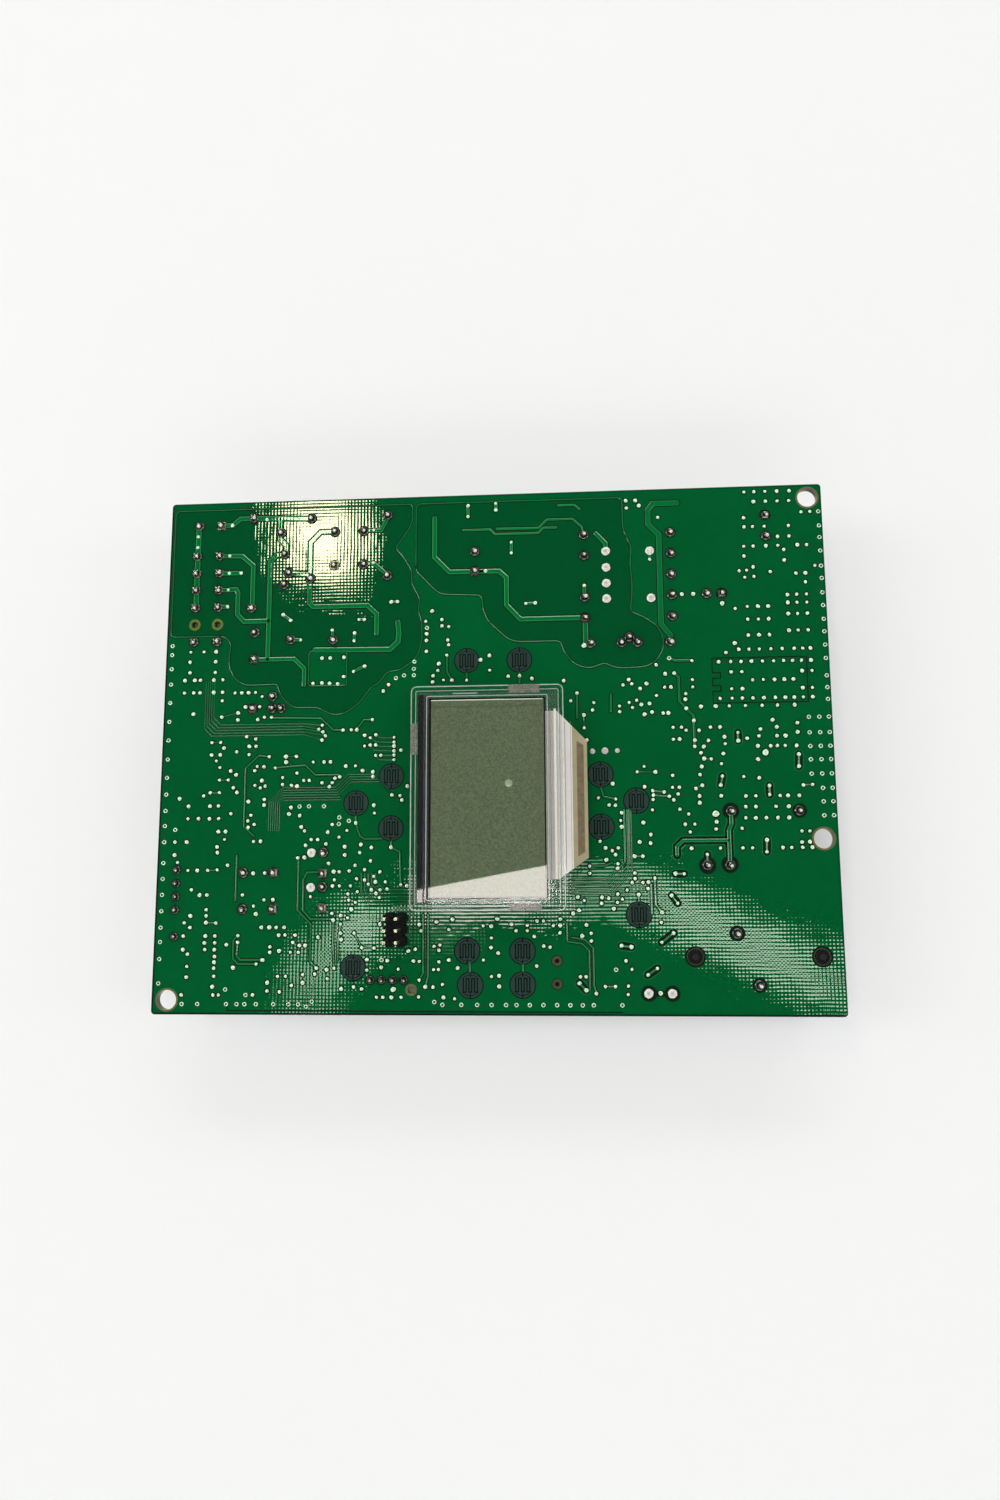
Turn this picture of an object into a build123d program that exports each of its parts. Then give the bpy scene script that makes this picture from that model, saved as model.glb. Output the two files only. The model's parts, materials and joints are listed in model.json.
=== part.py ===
"""Boiler control board: display side up, standing on the tall components of its other side.

Millimetres. X runs along the board, Y across it, Z out of the display side.
Z = 0 is the plane on which the tallest components stand; X = Y = 0 is the board's centre.
Places on the board are given from its lower left corner, seen from the display side.
"""
import os
from math import atan2, degrees, sqrt

from build123d import *

os.makedirs("parts", exist_ok=True)

# ------------------------------------------------------------------ board
board_length = 153.6
board_width = 120.0
board_thickness = 1.6
board_corner_radius = 0.8
stand_height = 21.8          # both transformers and both chokes reach the rest plane
z_under = stand_height       # component side of the board
z_top = z_under + board_thickness

mount_hole_radius = 2.2
mount_edge_x = 3.2           # right-hand holes, in from the right edge
mount_edge_top = 3.2         # upper hole, down from the top edge
mount_spacing = 78.6
mount_corner = (3.5, 3.2)    # lower left hole

# ------------------------------------------------------------------ leads and joints
lead_radius = 0.35
pin_size = 0.64
hole_clearance = 0.15
lead_proud = 1.1             # cropped lead above the display side
solder_base_radius = 1.0
solder_rim = 0.12
solder_height = 0.8
lead_sides = 6               # sides of the sections of what repeats most

# ------------------------------------------------------------------ display module
holder_left = 59.4
holder_bottom = 22.8
holder_length = 34.2
holder_width = 50.0
holder_height = 6.2
holder_wall = 1.2
holder_corner = 1.5
lip_thickness = 0.8
lip_reach = 2.6
glass_thickness = 2.2
glass_clearance = 0.3
film_thickness = 0.3
polariser_thickness = 0.25
strip_width = 2.2
guide_reach = 3.3            # light guide past the glass, to the LED housing
led_housing_depth = 3.3
guide_inset_low = 5.3        # ends of the light guide, in from the glass
guide_inset_high = 4.1
taper_low = 4.7              # ends of the LED housing, in from those of the light guide
taper_high = 6.9
guide_window_margin = 1.0    # the holder's wall stops short of the light guide by this much
clip_width = 7.0
clip_along = 25.4            # snap arms of the short sides, from the holder's left side
clip_up = 38.0               # snap arm of the left side, from the holder's lower side
clip_clearance = 0.2
clip_hook = 0.6
clip_hook_height = 1.0
led_size = (1.2, 3.0, 1.4)
led_spacing = 8.0

# ------------------------------------------------------------------ headers
power_pitch = 4.2
power_column_pitch = 5.5
power_rows = 6
power_centre = (9.35, 96.2)
power_pin = 1.07
power_housing_height = 12.8
power_floor = 3.2
power_cell = 3.3
power_wall = 1.1
power_latch = (1.2, 6.0, 2.4)
power_latch_rise = 5.0       # latch ramp above the housing's mouth
power_pin_recess = 2.5
empty_power_row = 1          # both positions of this row are left out

program_pitch = 2.54
program_centre = (55.55, 18.7)
program_base_height = 2.5
program_pin_above = 8.4
program_pin_below = 1.4
program_notch = 0.5          # between the rows of the header's base

# ------------------------------------------------------------------ chokes
choke_pin_x = 7.0
choke_pin_y = 8.2
choke_base = (11.4, 15.6, 2.0)
choke_scale = (stand_height - choke_base[2]) / 19.8     # the sections fill the height under the base
choke_flange = 13.0 * choke_scale
choke_tube = 5.6 * choke_scale
choke_winding = 9.6 * choke_scale
choke_core_leg = 4.0 * choke_scale
choke_flange_thickness = 1.0
choke_spool = 10.6
choke_core_depth = 3.0
choke_gap = 0.1

# ------------------------------------------------------------------ transformers
transformer_case = (32.0, 27.5)
transformer_rows = 20.0
transformer_pitch = 5.0
transformer_centre = (108.85, 99.4)
ignition_centre = (135.2, 12.7)
ignition_size = (33.4, 18.4)
ignition_peg_radius = 1.5
ignition_peg_spacing = 27.2
ignition_peg_proud = 0.6

# ------------------------------------------------------------------ fuse
fuse_radius = 2.6
fuse_length = 20.0
fuse_cap_length = 5.0
fuse_cap_wall = 0.3
fuse_pitch = 22.2
fuse_centre = (20.2, 104.8)
fuse_drop = 4.6              # fuse axis below the board
clip_metal = 0.4
fuse_leg = 1.0
earth_leg = 0.8
fuse_clip_width = 4.0
fuse_mouth_share = 0.7       # mouth of a clip, as a share of the fuse's diameter
fuse_foot = (3.0, 1.0)       # width, and length under the clip
blade_width = 6.3
blade_height = 8.0
blade_metal = 0.8
blade_corner = 1.0

# ------------------------------------------------------------------ friction-lock headers and test pins
sensor_pitch = 3.0
panel_pitch = 2.5
header_base = 3.2
header_lock = 9.0
header_lock_wall = 1.2
header_pin_below = 11.0
header_lock_share = 0.7
test_pin_below = 1.2
sensor_header_centre = (4.7, 24.7)
sensor_header_size = (6.6, 6 * sensor_pitch + 0.8)
panel_header_centre = (53.75, 7.4)
panel_header_size = (13.0, 6.0)

# ------------------------------------------------------------------ potted blocks and relay
foot_gap = 0.5               # the blocks stand off the board on corner feet
foot_size = 3.0
block_corner = 1.2
block_edge = 0.8
tab_size = (8.0, 2.8, 0.8)
tab_spacing = 9.0
relay_corner = 0.5

# ------------------------------------------------------------------ leaded components
bung_inset = 0.5             # an electrolytic capacitor stands on its bung
bung_height = 0.8
box_corner = 0.4
diode_radius = 1.35
diode_length = 4.6
diode_bend = 0.6

# ------------------------------------------------------------------ surface-mounted components
lead_metal = 0.15
body_gap = 0.1
body_edge = 0.2
gull_shoulder = 0.35         # from the body to the foot, and from the body to the toe
gull_toe = 1.0
gull_lead_share = 0.45       # lead width, as a share of the pitch
regulator_centre = (137.6, 74.0)
regulator_size = (10.2, 8.6, 4.4)
regulator_edge = 0.6
crystal_centre = (40.0, 57.5)
crystal_size = (11.0, 4.6, 3.6)
chip_size = (2.0, 1.25, 0.55)
chip_pitch = 4.0
chips_in_row = 4
chip_rows = [(20.0, 58.5), (62.0, 84.0), (98.0, 60.0), (62.0, 12.0)]     # first chip of each row


def at(x, y):
    """A place on the board, from its lower left corner, in the part's frame."""
    return (x - board_length / 2, y - board_width / 2)


def round_section(radius, mode=Mode.ADD):
    """Section of round leads, their holes and all joints: six-sided, to stay light."""
    return RegularPolygon(radius, lead_sides, major_radius=False, rotation=180 / lead_sides, mode=mode)


def finish(builder, name):
    """Label a finished piece and write it."""
    builder.part.label = name
    export_step(builder.part, f"parts/{name}.step")


# ------------------------------------------------------------------ lead places
power_rows_y = [power_centre[1] + (row - (power_rows - 1) / 2) * power_pitch for row in range(power_rows)]
power_columns_x = [power_centre[0] + side * power_column_pitch / 2 for side in (-1, 1)]
power_pins = [(x, y) for x in power_columns_x for i, y in enumerate(power_rows_y) if i != empty_power_row]
power_empty = [(x, power_rows_y[empty_power_row]) for x in power_columns_x]

transformer_pins = [
    (transformer_centre[0] + side * transformer_rows / 2, transformer_centre[1] + step * transformer_pitch)
    for side in (-1, 1)
    for step in (-2, -1, 0, 1, 2)
    if not (side == -1 and step == 0)
]


def choke_pins_at(centre):
    """Four pins of a choke standing on the given centre."""
    cx, cy = centre
    return [(cx + i * choke_pin_x / 2, cy + j * choke_pin_y / 2) for i in (-1, 1) for j in (-1, 1)]


line_choke_centre = (43.4, 107.8)
bus_choke_centre = (23.7, 27.4)
choke_pins = choke_pins_at(line_choke_centre) + choke_pins_at(bus_choke_centre)

relay_centre = (30.6, 84.5)
relay_size = (22.4, 10.0, 15.3)
relay_pins = [(21.2, 87.7), (21.2, 81.3), (29.8, 85.8), (39.9, 85.6)]

ignition_pins = [(130.8, 17.7), (135.2, 6.6)]
peg_reach = ignition_peg_spacing / 2
ignition_pegs = [(ignition_centre[0] + side * peg_reach, ignition_centre[1]) for side in (-1, 1)]

sensor_pins = [(4.6, 32.2 - sensor_pitch * i) for i in (0, 1, 2, 3, 5)]
panel_pins = [(49.8 + panel_pitch * i, 7.6) for i in range(4)]
panel_peg = (59.0, 5.5)
empty_holes = [(91.4, 11.8), (91.4, 6.8)]
small_hole_radius = 0.8
test_pins = [(25.9, 72.3), (27.95, 69.45), (108.9, 84.7)]
earth_pins = [(6.9, 114.25), (12.3, 114.25)]
fuse_pins = [(fuse_centre[0], fuse_centre[1] + side * fuse_pitch / 2) for side in (-1, 1)]

# box capacitors: name, centre, lead pitch, (length, width, height), leads along X or Y
box_capacitors = {
    "line_capacitor_left": ((34.2, 108.0), 14.8, (17.6, 6.0, 12.0), "Y"),
    "line_capacitor_right": ((52.6, 108.2), 14.8, (17.6, 6.0, 12.0), "Y"),
    "ignition_capacitor": ((137.9, 44.45), 15.0, (17.8, 7.0, 13.0), "X"),
    "spark_capacitor": ((127.35, 32.6), 5.0, (7.2, 4.5, 9.5), "X"),
    "filter_capacitor_upper": ((38.6, 33.6), 4.7, (7.2, 4.5, 9.5), "Y"),
    "filter_capacitor_lower": ((38.6, 25.85), 4.7, (7.2, 4.5, 9.5), "Y"),
    "filter_capacitor_left": ((23.5, 69.45), 4.6, (7.2, 3.0, 8.5), "X"),
}
# electrolytic capacitors: name, centre, lead pitch, (diameter, height), leads along X or Y
can_capacitors = {
    "supply_capacitor": ((73.3, 103.7), 4.8, (10.0, 16.0), "Y"),
    "output_capacitor": ((140.65, 110.4), 5.0, (10.0, 16.0), "Y"),
    "logic_capacitor": ((128.45, 94.5), 3.4, (6.3, 11.0), "X"),
}
# coated discs on edge: name, the two lead places, (diameter, thickness)
coated_discs = {
    "varistor": (((26.9, 112.0), (27.9, 106.75)), (9.0, 3.6)),
    "disc_capacitor": (((29.0, 102.1), (27.9, 99.25)), (6.0, 2.6)),
}
# axial diodes: the two lead places of each
axial_diodes = [((100.0, 83.4), (107.1, 83.4)), ((110.75, 83.4), (118.2, 83.4))]


def pair(centre, pitch, along):
    """Two lead places a pitch apart about a centre."""
    dx, dy = (pitch / 2, 0) if along == "X" else (0, pitch / 2)
    return [(centre[0] - dx, centre[1] - dy), (centre[0] + dx, centre[1] + dy)]


round_leads = []
for centre, pitch, _, along in list(box_capacitors.values()) + list(can_capacitors.values()):
    round_leads += pair(centre, pitch, along)
for leads, _ in coated_discs.values():
    round_leads += list(leads)
for leads in axial_diodes:
    round_leads += list(leads)
square_pins = (
    transformer_pins + choke_pins + relay_pins + ignition_pins + sensor_pins + panel_pins + test_pins
)
heavy_pins = power_pins + earth_pins + fuse_pins
program_pins = [
    (program_centre[0] + (i - 0.5) * program_pitch, program_centre[1] + (j - 1) * program_pitch)
    for i in range(2)
    for j in range(3)
]

# display holder and its snap arms: centre of each arm on the holder's outline, and its direction
holder_centre = (holder_left + holder_length / 2, holder_bottom + holder_width / 2)
holder_top = holder_bottom + holder_width
clip_places = [
    (holder_left + clip_along, holder_top - holder_wall / 2, "X"),
    (holder_left + clip_along, holder_bottom + holder_wall / 2, "X"),
    (holder_left + holder_wall / 2, holder_bottom + clip_up, "Y"),
]
glass_left = holder_left + holder_wall + glass_clearance
glass_right = holder_left + holder_length - holder_wall - glass_clearance
glass_low = holder_bottom + holder_wall + glass_clearance
glass_high = holder_top - holder_wall - glass_clearance
z_glass_top = z_top + holder_height - lip_thickness
z_glass = z_glass_top - glass_thickness
z_film = z_glass - film_thickness
guide_left = glass_left + strip_width + glass_clearance
guide_end = glass_right + guide_reach
led_housing_end = guide_end + led_housing_depth
guide_mouth_low = glass_low + guide_inset_low
guide_mouth_high = glass_high - guide_inset_high
led_housing_low = guide_mouth_low + taper_low
led_housing_high = guide_mouth_high - taper_high
guide_share = guide_reach / (guide_reach + led_housing_depth)
guide_end_low = guide_mouth_low + taper_low * guide_share
guide_end_high = guide_mouth_high - taper_high * guide_share

# ------------------------------------------------------------------ circuit board
with BuildPart() as circuit_board:
    with BuildSketch(Plane.XY.offset(z_under)):
        RectangleRounded(board_length, board_width, board_corner_radius)
        mount_right = board_length - mount_edge_x
        mount_high = board_width - mount_edge_top
        with Locations(
            at(*mount_corner), at(mount_right, mount_high), at(mount_right, mount_high - mount_spacing)
        ):
            Circle(mount_hole_radius, mode=Mode.SUBTRACT)
        with Locations(*[at(*p) for p in round_leads]):
            round_section(lead_radius + hole_clearance, Mode.SUBTRACT)
        with Locations(*[at(*p) for p in square_pins + program_pins]):
            Rectangle(pin_size + hole_clearance, pin_size + hole_clearance, mode=Mode.SUBTRACT)
        with Locations(*[at(*p) for p in heavy_pins + power_empty]):
            Rectangle(power_pin + hole_clearance, power_pin + hole_clearance, mode=Mode.SUBTRACT)
        with Locations(*[at(*p) for p in ignition_pegs]):
            Circle(ignition_peg_radius + hole_clearance, mode=Mode.SUBTRACT)
        with Locations(*[at(*p) for p in [panel_peg] + empty_holes]):
            Circle(small_hole_radius, mode=Mode.SUBTRACT)
        for x, y, along in clip_places:
            long_side = clip_width + 2 * clip_clearance
            short_side = holder_wall + clip_hook + 2 * clip_clearance
            with Locations(at(x, y)):
                if along == "X":
                    Rectangle(long_side, short_side, mode=Mode.SUBTRACT)
                else:
                    Rectangle(short_side, long_side, mode=Mode.SUBTRACT)
    extrude(amount=board_thickness)
finish(circuit_board, "circuit_board")

# ------------------------------------------------------------------ display module
with BuildPart() as display_holder:
    with BuildSketch(Plane.XY.offset(z_top)):
        with Locations(at(*holder_centre)):
            RectangleRounded(holder_length, holder_width, holder_corner)
            Rectangle(holder_length - 2 * holder_wall, holder_width - 2 * holder_wall, mode=Mode.SUBTRACT)
    extrude(amount=holder_height)
    with BuildSketch(Plane.XY.offset(z_glass_top)):
        with Locations(at(*holder_centre)):
            RectangleRounded(holder_length, holder_width, holder_corner)
            Rectangle(
                holder_length - 2 * (holder_wall + lip_reach),
                holder_width - 2 * (holder_wall + lip_reach / 2),
                mode=Mode.SUBTRACT,
            )
    extrude(amount=lip_thickness)
    # the right-hand wall bridges the light guide
    guide_gap = guide_mouth_high - guide_mouth_low + 2 * guide_window_margin
    with BuildSketch(Plane.XY.offset(z_top)):
        with Locations(at(holder_left + holder_length, (guide_mouth_high + guide_mouth_low) / 2)):
            Rectangle(4 * holder_wall, guide_gap, mode=Mode.ADD)
    extrude(amount=z_film - z_top + glass_clearance, mode=Mode.SUBTRACT)
    # snap arms through the board, each with a hook under it
    for x, y, along in clip_places:
        with BuildSketch(Plane.XY.offset(z_under - clip_clearance)):
            with Locations(at(x, y)):
                if along == "X":
                    Rectangle(clip_width, holder_wall)
                else:
                    Rectangle(holder_wall, clip_width)
        extrude(amount=board_thickness + clip_clearance + lip_thickness)
    for x, y, along in clip_places:
        outward = 1 if (along == "X" and y > holder_centre[1]) else -1
        reach = holder_wall + clip_hook + 2 * clip_clearance
        with BuildSketch(Plane.XY.offset(z_under - clip_clearance)):
            if along == "X":
                with Locations(at(x, y + outward * (reach - holder_wall) / 2)):
                    Rectangle(clip_width, reach)
            else:
                with Locations(at(x + outward * (reach - holder_wall) / 2, y)):
                    Rectangle(reach, clip_width)
        extrude(amount=-clip_hook_height)
finish(display_holder, "display_holder")


def flat_sheet(name, corners, bottom, thickness):
    """A rectangular sheet or plate lying in the display module."""
    left, low, right, high = corners
    with BuildPart() as sheet:
        with BuildSketch(Plane.XY.offset(bottom)):
            with Locations(at((left + right) / 2, (low + high) / 2)):
                Rectangle(right - left, high - low)
        extrude(amount=thickness)
    finish(sheet, name)


glass_corners = (glass_left, glass_low, glass_right, glass_high)
flat_sheet("lcd_cell", glass_corners, z_glass, glass_thickness)
window_left = holder_left + holder_wall + lip_reach + glass_clearance
window_right = holder_left + holder_length - holder_wall - lip_reach - glass_clearance
window_low = holder_bottom + holder_wall + lip_reach / 2 + glass_clearance
window_high = holder_top - holder_wall - lip_reach / 2 - glass_clearance
window_corners = (window_left, window_low, window_right, window_high)
flat_sheet("front_polariser", window_corners, z_glass_top, polariser_thickness)
strip_corners = (glass_left, glass_low, glass_left + strip_width, glass_high)
flat_sheet("elastomer_strip", strip_corners, z_top, z_glass - z_top)
film_corners = (guide_left, guide_mouth_low, glass_right, guide_mouth_high)
flat_sheet("reflector_film", film_corners, z_top, film_thickness)
flat_sheet("diffuser_film", film_corners, z_film, film_thickness)

with BuildPart() as light_guide:
    with BuildSketch(Plane.XY.offset(z_top + film_thickness)):
        with BuildLine():
            Polyline(
                at(guide_left, guide_mouth_low),
                at(glass_right, guide_mouth_low),
                at(guide_end, guide_end_low),
                at(guide_end, guide_end_high),
                at(glass_right, guide_mouth_high),
                at(guide_left, guide_mouth_high),
                close=True,
            )
        make_face()
    extrude(amount=z_film - z_top - film_thickness)
finish(light_guide, "light_guide")

led_row = [led_spacing * i for i in (-1, 0, 1)]
led_middle = (led_housing_low + led_housing_high) / 2
with BuildPart() as led_housing:
    with BuildSketch(Plane.XY.offset(z_top)):
        with BuildLine():
            Polyline(
                at(guide_end, guide_end_low),
                at(led_housing_end, led_housing_low),
                at(led_housing_end, led_housing_high),
                at(guide_end, guide_end_high),
                close=True,
            )
        make_face()
    extrude(amount=z_film - z_top)
    # pockets for the LEDs, open towards the board and the light guide
    with BuildSketch(Plane.XY.offset(z_top)):
        with Locations(*[at(guide_end + led_size[0] / 2, led_middle + d) for d in led_row]):
            Rectangle(led_size[0], led_size[1])
    extrude(amount=led_size[2], mode=Mode.SUBTRACT)
finish(led_housing, "led_housing")

with BuildPart() as backlight_leds:
    with BuildSketch(Plane.XY.offset(z_top)):
        with Locations(*[at(guide_end + led_size[0] / 2, led_middle + d) for d in led_row]):
            Rectangle(led_size[0], led_size[1])
    extrude(amount=led_size[2])
finish(backlight_leds, "backlight_leds")

# ------------------------------------------------------------------ programming header
with BuildPart() as programming_header:
    with BuildSketch(Plane.XY.offset(z_top)):
        for row in range(3):
            with Locations(at(program_centre[0], program_centre[1] + (row - 1) * program_pitch)):
                Rectangle(2 * program_pitch, program_pitch)
        chamfer(vertices(), program_notch)
        with Locations(*[at(*p) for p in program_pins]):
            Rectangle(pin_size, pin_size, mode=Mode.SUBTRACT)
    extrude(amount=program_base_height)
finish(programming_header, "programming_header")


def square_pin_group(name, places, size, bottom, top):
    """Straight square pins sharing one height."""
    with BuildPart() as pins:
        with BuildSketch(Plane.XY.offset(bottom)):
            with Locations(*[at(*p) for p in places]):
                Rectangle(size, size)
        extrude(amount=top - bottom)
    finish(pins, name)


z_tip = z_top + lead_proud
square_pin_group(
    "programming_pins", program_pins, pin_size, z_under - program_pin_below, z_top + program_pin_above
)

# ------------------------------------------------------------------ mains header
with BuildPart() as mains_header:
    housing_surround = power_cell + 2 * power_wall
    housing = (power_column_pitch + housing_surround, (power_rows - 1) * power_pitch + housing_surround)
    with BuildSketch(Plane.XY.offset(z_under)):
        with Locations(at(*power_centre)):
            Rectangle(*housing)
    extrude(amount=-power_housing_height)
    with BuildSketch(Plane.XY.offset(z_under - power_housing_height)):
        for column, x in enumerate(power_columns_x):
            for row, y in enumerate(power_rows_y):
                with Locations(at(x, y)):
                    if (row + column) % 2:
                        Rectangle(power_cell, power_cell)
                    else:
                        RegularPolygon(power_cell / 2, 8, major_radius=False, rotation=180 / 8)
    extrude(amount=power_housing_height - power_floor, mode=Mode.SUBTRACT)
    # latch ramp on the outer long side
    with BuildSketch(Plane.XY.offset(z_under - power_housing_height + power_latch_rise)):
        with Locations(at(power_centre[0] + (housing[0] + power_latch[0]) / 2, power_centre[1])):
            Rectangle(power_latch[0], power_latch[1])
    extrude(amount=power_latch[2])
    with BuildSketch(Plane.XY.offset(z_under - power_floor)):
        with Locations(*[at(*p) for p in power_pins]):
            Rectangle(power_pin, power_pin)
    extrude(amount=power_floor, mode=Mode.SUBTRACT)
finish(mains_header, "mains_header")
z_mains_pin = z_under - power_housing_height + power_pin_recess
square_pin_group("mains_pins", power_pins, power_pin, z_mains_pin, z_tip)

# ------------------------------------------------------------------ earth blade
with BuildPart() as earth_blade:
    blade_x = (earth_pins[0][0] + earth_pins[1][0]) / 2
    with BuildSketch(Plane.XZ.offset(-at(0, earth_pins[0][1])[1] - blade_metal / 2)):
        left = at(blade_x, 0)[0] - blade_width / 2
        right = left + blade_width
        with BuildLine():
            Polyline(
                (left, z_under),
                (left, z_under - blade_height + blade_corner),
                (left + blade_corner, z_under - blade_height),
                (right - blade_corner, z_under - blade_height),
                (right, z_under - blade_height + blade_corner),
                (right, z_under),
                close=True,
            )
        make_face()
    extrude(amount=blade_metal)
    with BuildSketch(Plane.XY.offset(z_under)):
        with Locations(*[at(*p) for p in earth_pins]):
            Rectangle(earth_leg, earth_leg)
    extrude(amount=board_thickness + lead_proud)
finish(earth_blade, "earth_blade")

# ------------------------------------------------------------------ fuse
fuse_z = z_under - fuse_drop
fuse_y = at(*fuse_centre)[1]
fuse_x = at(*fuse_centre)[0]
with BuildPart() as fuse_caps:
    for side in (-1, 1):
        start = fuse_y + side * fuse_length / 2
        with BuildSketch(Plane.XZ.offset(-start)):
            with Locations((fuse_x, fuse_z)):
                Circle(fuse_radius)
        extrude(amount=side * fuse_cap_length)
        with BuildSketch(Plane.XZ.offset(-start + side * fuse_cap_wall)):
            with Locations((fuse_x, fuse_z)):
                Circle(fuse_radius - fuse_cap_wall)
        extrude(amount=side * (fuse_cap_length - fuse_cap_wall), mode=Mode.SUBTRACT)
finish(fuse_caps, "fuse_caps")
with BuildPart() as fuse_tube:
    with BuildSketch(Plane.XZ.offset(-fuse_y + fuse_length / 2 - fuse_cap_wall)):
        with Locations((fuse_x, fuse_z)):
            Circle(fuse_radius - fuse_cap_wall)
    extrude(amount=-(fuse_length - 2 * fuse_cap_wall))
finish(fuse_tube, "fuse_tube")

clip_outer = fuse_radius + clip_metal
with BuildPart() as fuse_clips:
    for side in (-1, 1):
        middle = fuse_y + side * (fuse_length - fuse_cap_length) / 2
        with BuildSketch(Plane.XZ.offset(-middle - fuse_clip_width / 2)):
            with Locations((fuse_x, fuse_z)):
                Circle(clip_outer)
            with Locations((fuse_x, (fuse_z + z_under) / 2)):
                Rectangle(2 * clip_outer, z_under - fuse_z)
            with Locations((fuse_x, (fuse_z + z_under - clip_metal) / 2)):
                Rectangle(2 * fuse_radius, z_under - clip_metal - fuse_z, mode=Mode.SUBTRACT)
            with Locations((fuse_x, fuse_z)):
                Circle(fuse_radius, mode=Mode.SUBTRACT)
            # the mouth through which the fuse is pressed in
            mouth = 2 * fuse_radius * fuse_mouth_share
            with Locations((fuse_x, fuse_z - clip_outer)):
                Rectangle(mouth, mouth, mode=Mode.SUBTRACT)
        extrude(amount=fuse_clip_width)
        # end stop and leg
        with BuildSketch(Plane.XY.offset(z_under)):
            with Locations((fuse_x, fuse_y + side * fuse_pitch / 2)):
                Rectangle(fuse_leg, fuse_leg)
        extrude(amount=board_thickness + lead_proud)
        foot = (fuse_pitch - fuse_length + fuse_cap_length) / 2
        with BuildSketch(Plane.XY.offset(z_under - clip_metal)):
            with Locations((fuse_x, middle + side * foot / 2)):
                Rectangle(fuse_foot[0], foot + fuse_foot[1])
        extrude(amount=clip_metal)
finish(fuse_clips, "fuse_clips")


# ------------------------------------------------------------------ capacitors, discs and diodes


def lead_ends(places, bottom):
    """The sections of a component's round leads, at the height where they start."""
    with BuildSketch(Plane.XY.offset(bottom)) as ends:
        with Locations(*[at(*p) for p in places]):
            round_section(lead_radius)
    return ends.sketch


def box_capacitor(name, centre, pitch, size, along):
    """Film capacitor in a plastic box, with its leads."""
    length, width, height = size
    if along == "Y":
        length, width = width, length
    with BuildPart() as capacitor:
        with BuildSketch(Plane.XY.offset(z_under)):
            with Locations(at(*centre)):
                Rectangle(length, width)
        extrude(amount=-height)
        chamfer(capacitor.edges().filter_by(Axis.Z), box_corner)
        extrude(lead_ends(pair(centre, pitch, along), z_under), amount=z_tip - z_under)
    finish(capacitor, name)


def can_capacitor(name, centre, pitch, size, along):
    """Electrolytic capacitor: a can standing on its bung, with its leads."""
    diameter, height = size
    radius = diameter / 2
    cx, cy = at(*centre)
    with BuildPart() as capacitor:
        with BuildSketch(Plane(origin=(cx, cy, 0), x_dir=(1, 0, 0), z_dir=(0, -1, 0))):
            with BuildLine():
                Polyline(
                    (0, z_under),
                    (radius - bung_inset, z_under),
                    (radius - bung_inset, z_under - bung_height),
                    (radius, z_under - bung_height),
                    (radius, z_under - height),
                    (0, z_under - height),
                    close=True,
                )
            make_face()
        revolve(axis=Axis((cx, cy, 0), (0, 0, 1)))
        extrude(lead_ends(pair(centre, pitch, along), z_under), amount=z_tip - z_under)
    finish(capacitor, name)


def coated_disc(name, leads, size):
    """Disc on edge, dipped in resin, its leads in two planes."""
    diameter, thickness = size
    (xa, ya), (xb, yb) = [at(*p) for p in leads]
    z_disc = z_under - diameter / 2
    with BuildPart() as disc:
        with BuildSketch(Plane.YZ.offset((xa + xb) / 2 - thickness / 2)):
            with Locations(((ya + yb) / 2, z_disc)):
                Circle(diameter / 2)
        extrude(amount=thickness)
        extrude(lead_ends(leads, z_disc), amount=z_tip - z_disc)
    finish(disc, name)


def axial_diode(leads):
    """Diode lying under the board, its leads bent up through it."""
    (xa, ya), (xb, _) = [at(*p) for p in leads]
    z_axis = z_under - diode_radius
    middle = (xa + xb) / 2
    with BuildPart() as diode:
        with BuildSketch(Plane.YZ.offset(middle - diode_length / 2)):
            with Locations((ya, z_axis)):
                Circle(diode_radius)
        extrude(amount=diode_length)
        for x_lead, toward in ((xa, 1), (xb, -1)):
            with BuildLine():
                path = Polyline(
                    (middle - toward * diode_length / 2, ya, z_axis),
                    (x_lead + toward * diode_bend, ya, z_axis),
                    (x_lead, ya, z_axis + diode_bend),
                    (x_lead, ya, z_tip),
                )
            with BuildSketch(Plane(origin=path @ 0, z_dir=path % 0)):
                round_section(lead_radius)
            sweep(path=path, transition=Transition.RIGHT)
    return diode.part


for name, values in box_capacitors.items():
    box_capacitor(name, *values)
for name, values in can_capacitors.items():
    can_capacitor(name, *values)
for name, values in coated_discs.items():
    coated_disc(name, *values)
diodes = [axial_diode(leads) for leads in axial_diodes]
with BuildPart() as rectifier_diodes:
    for diode in diodes:
        add(diode)
finish(rectifier_diodes, "rectifier_diodes")


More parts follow.
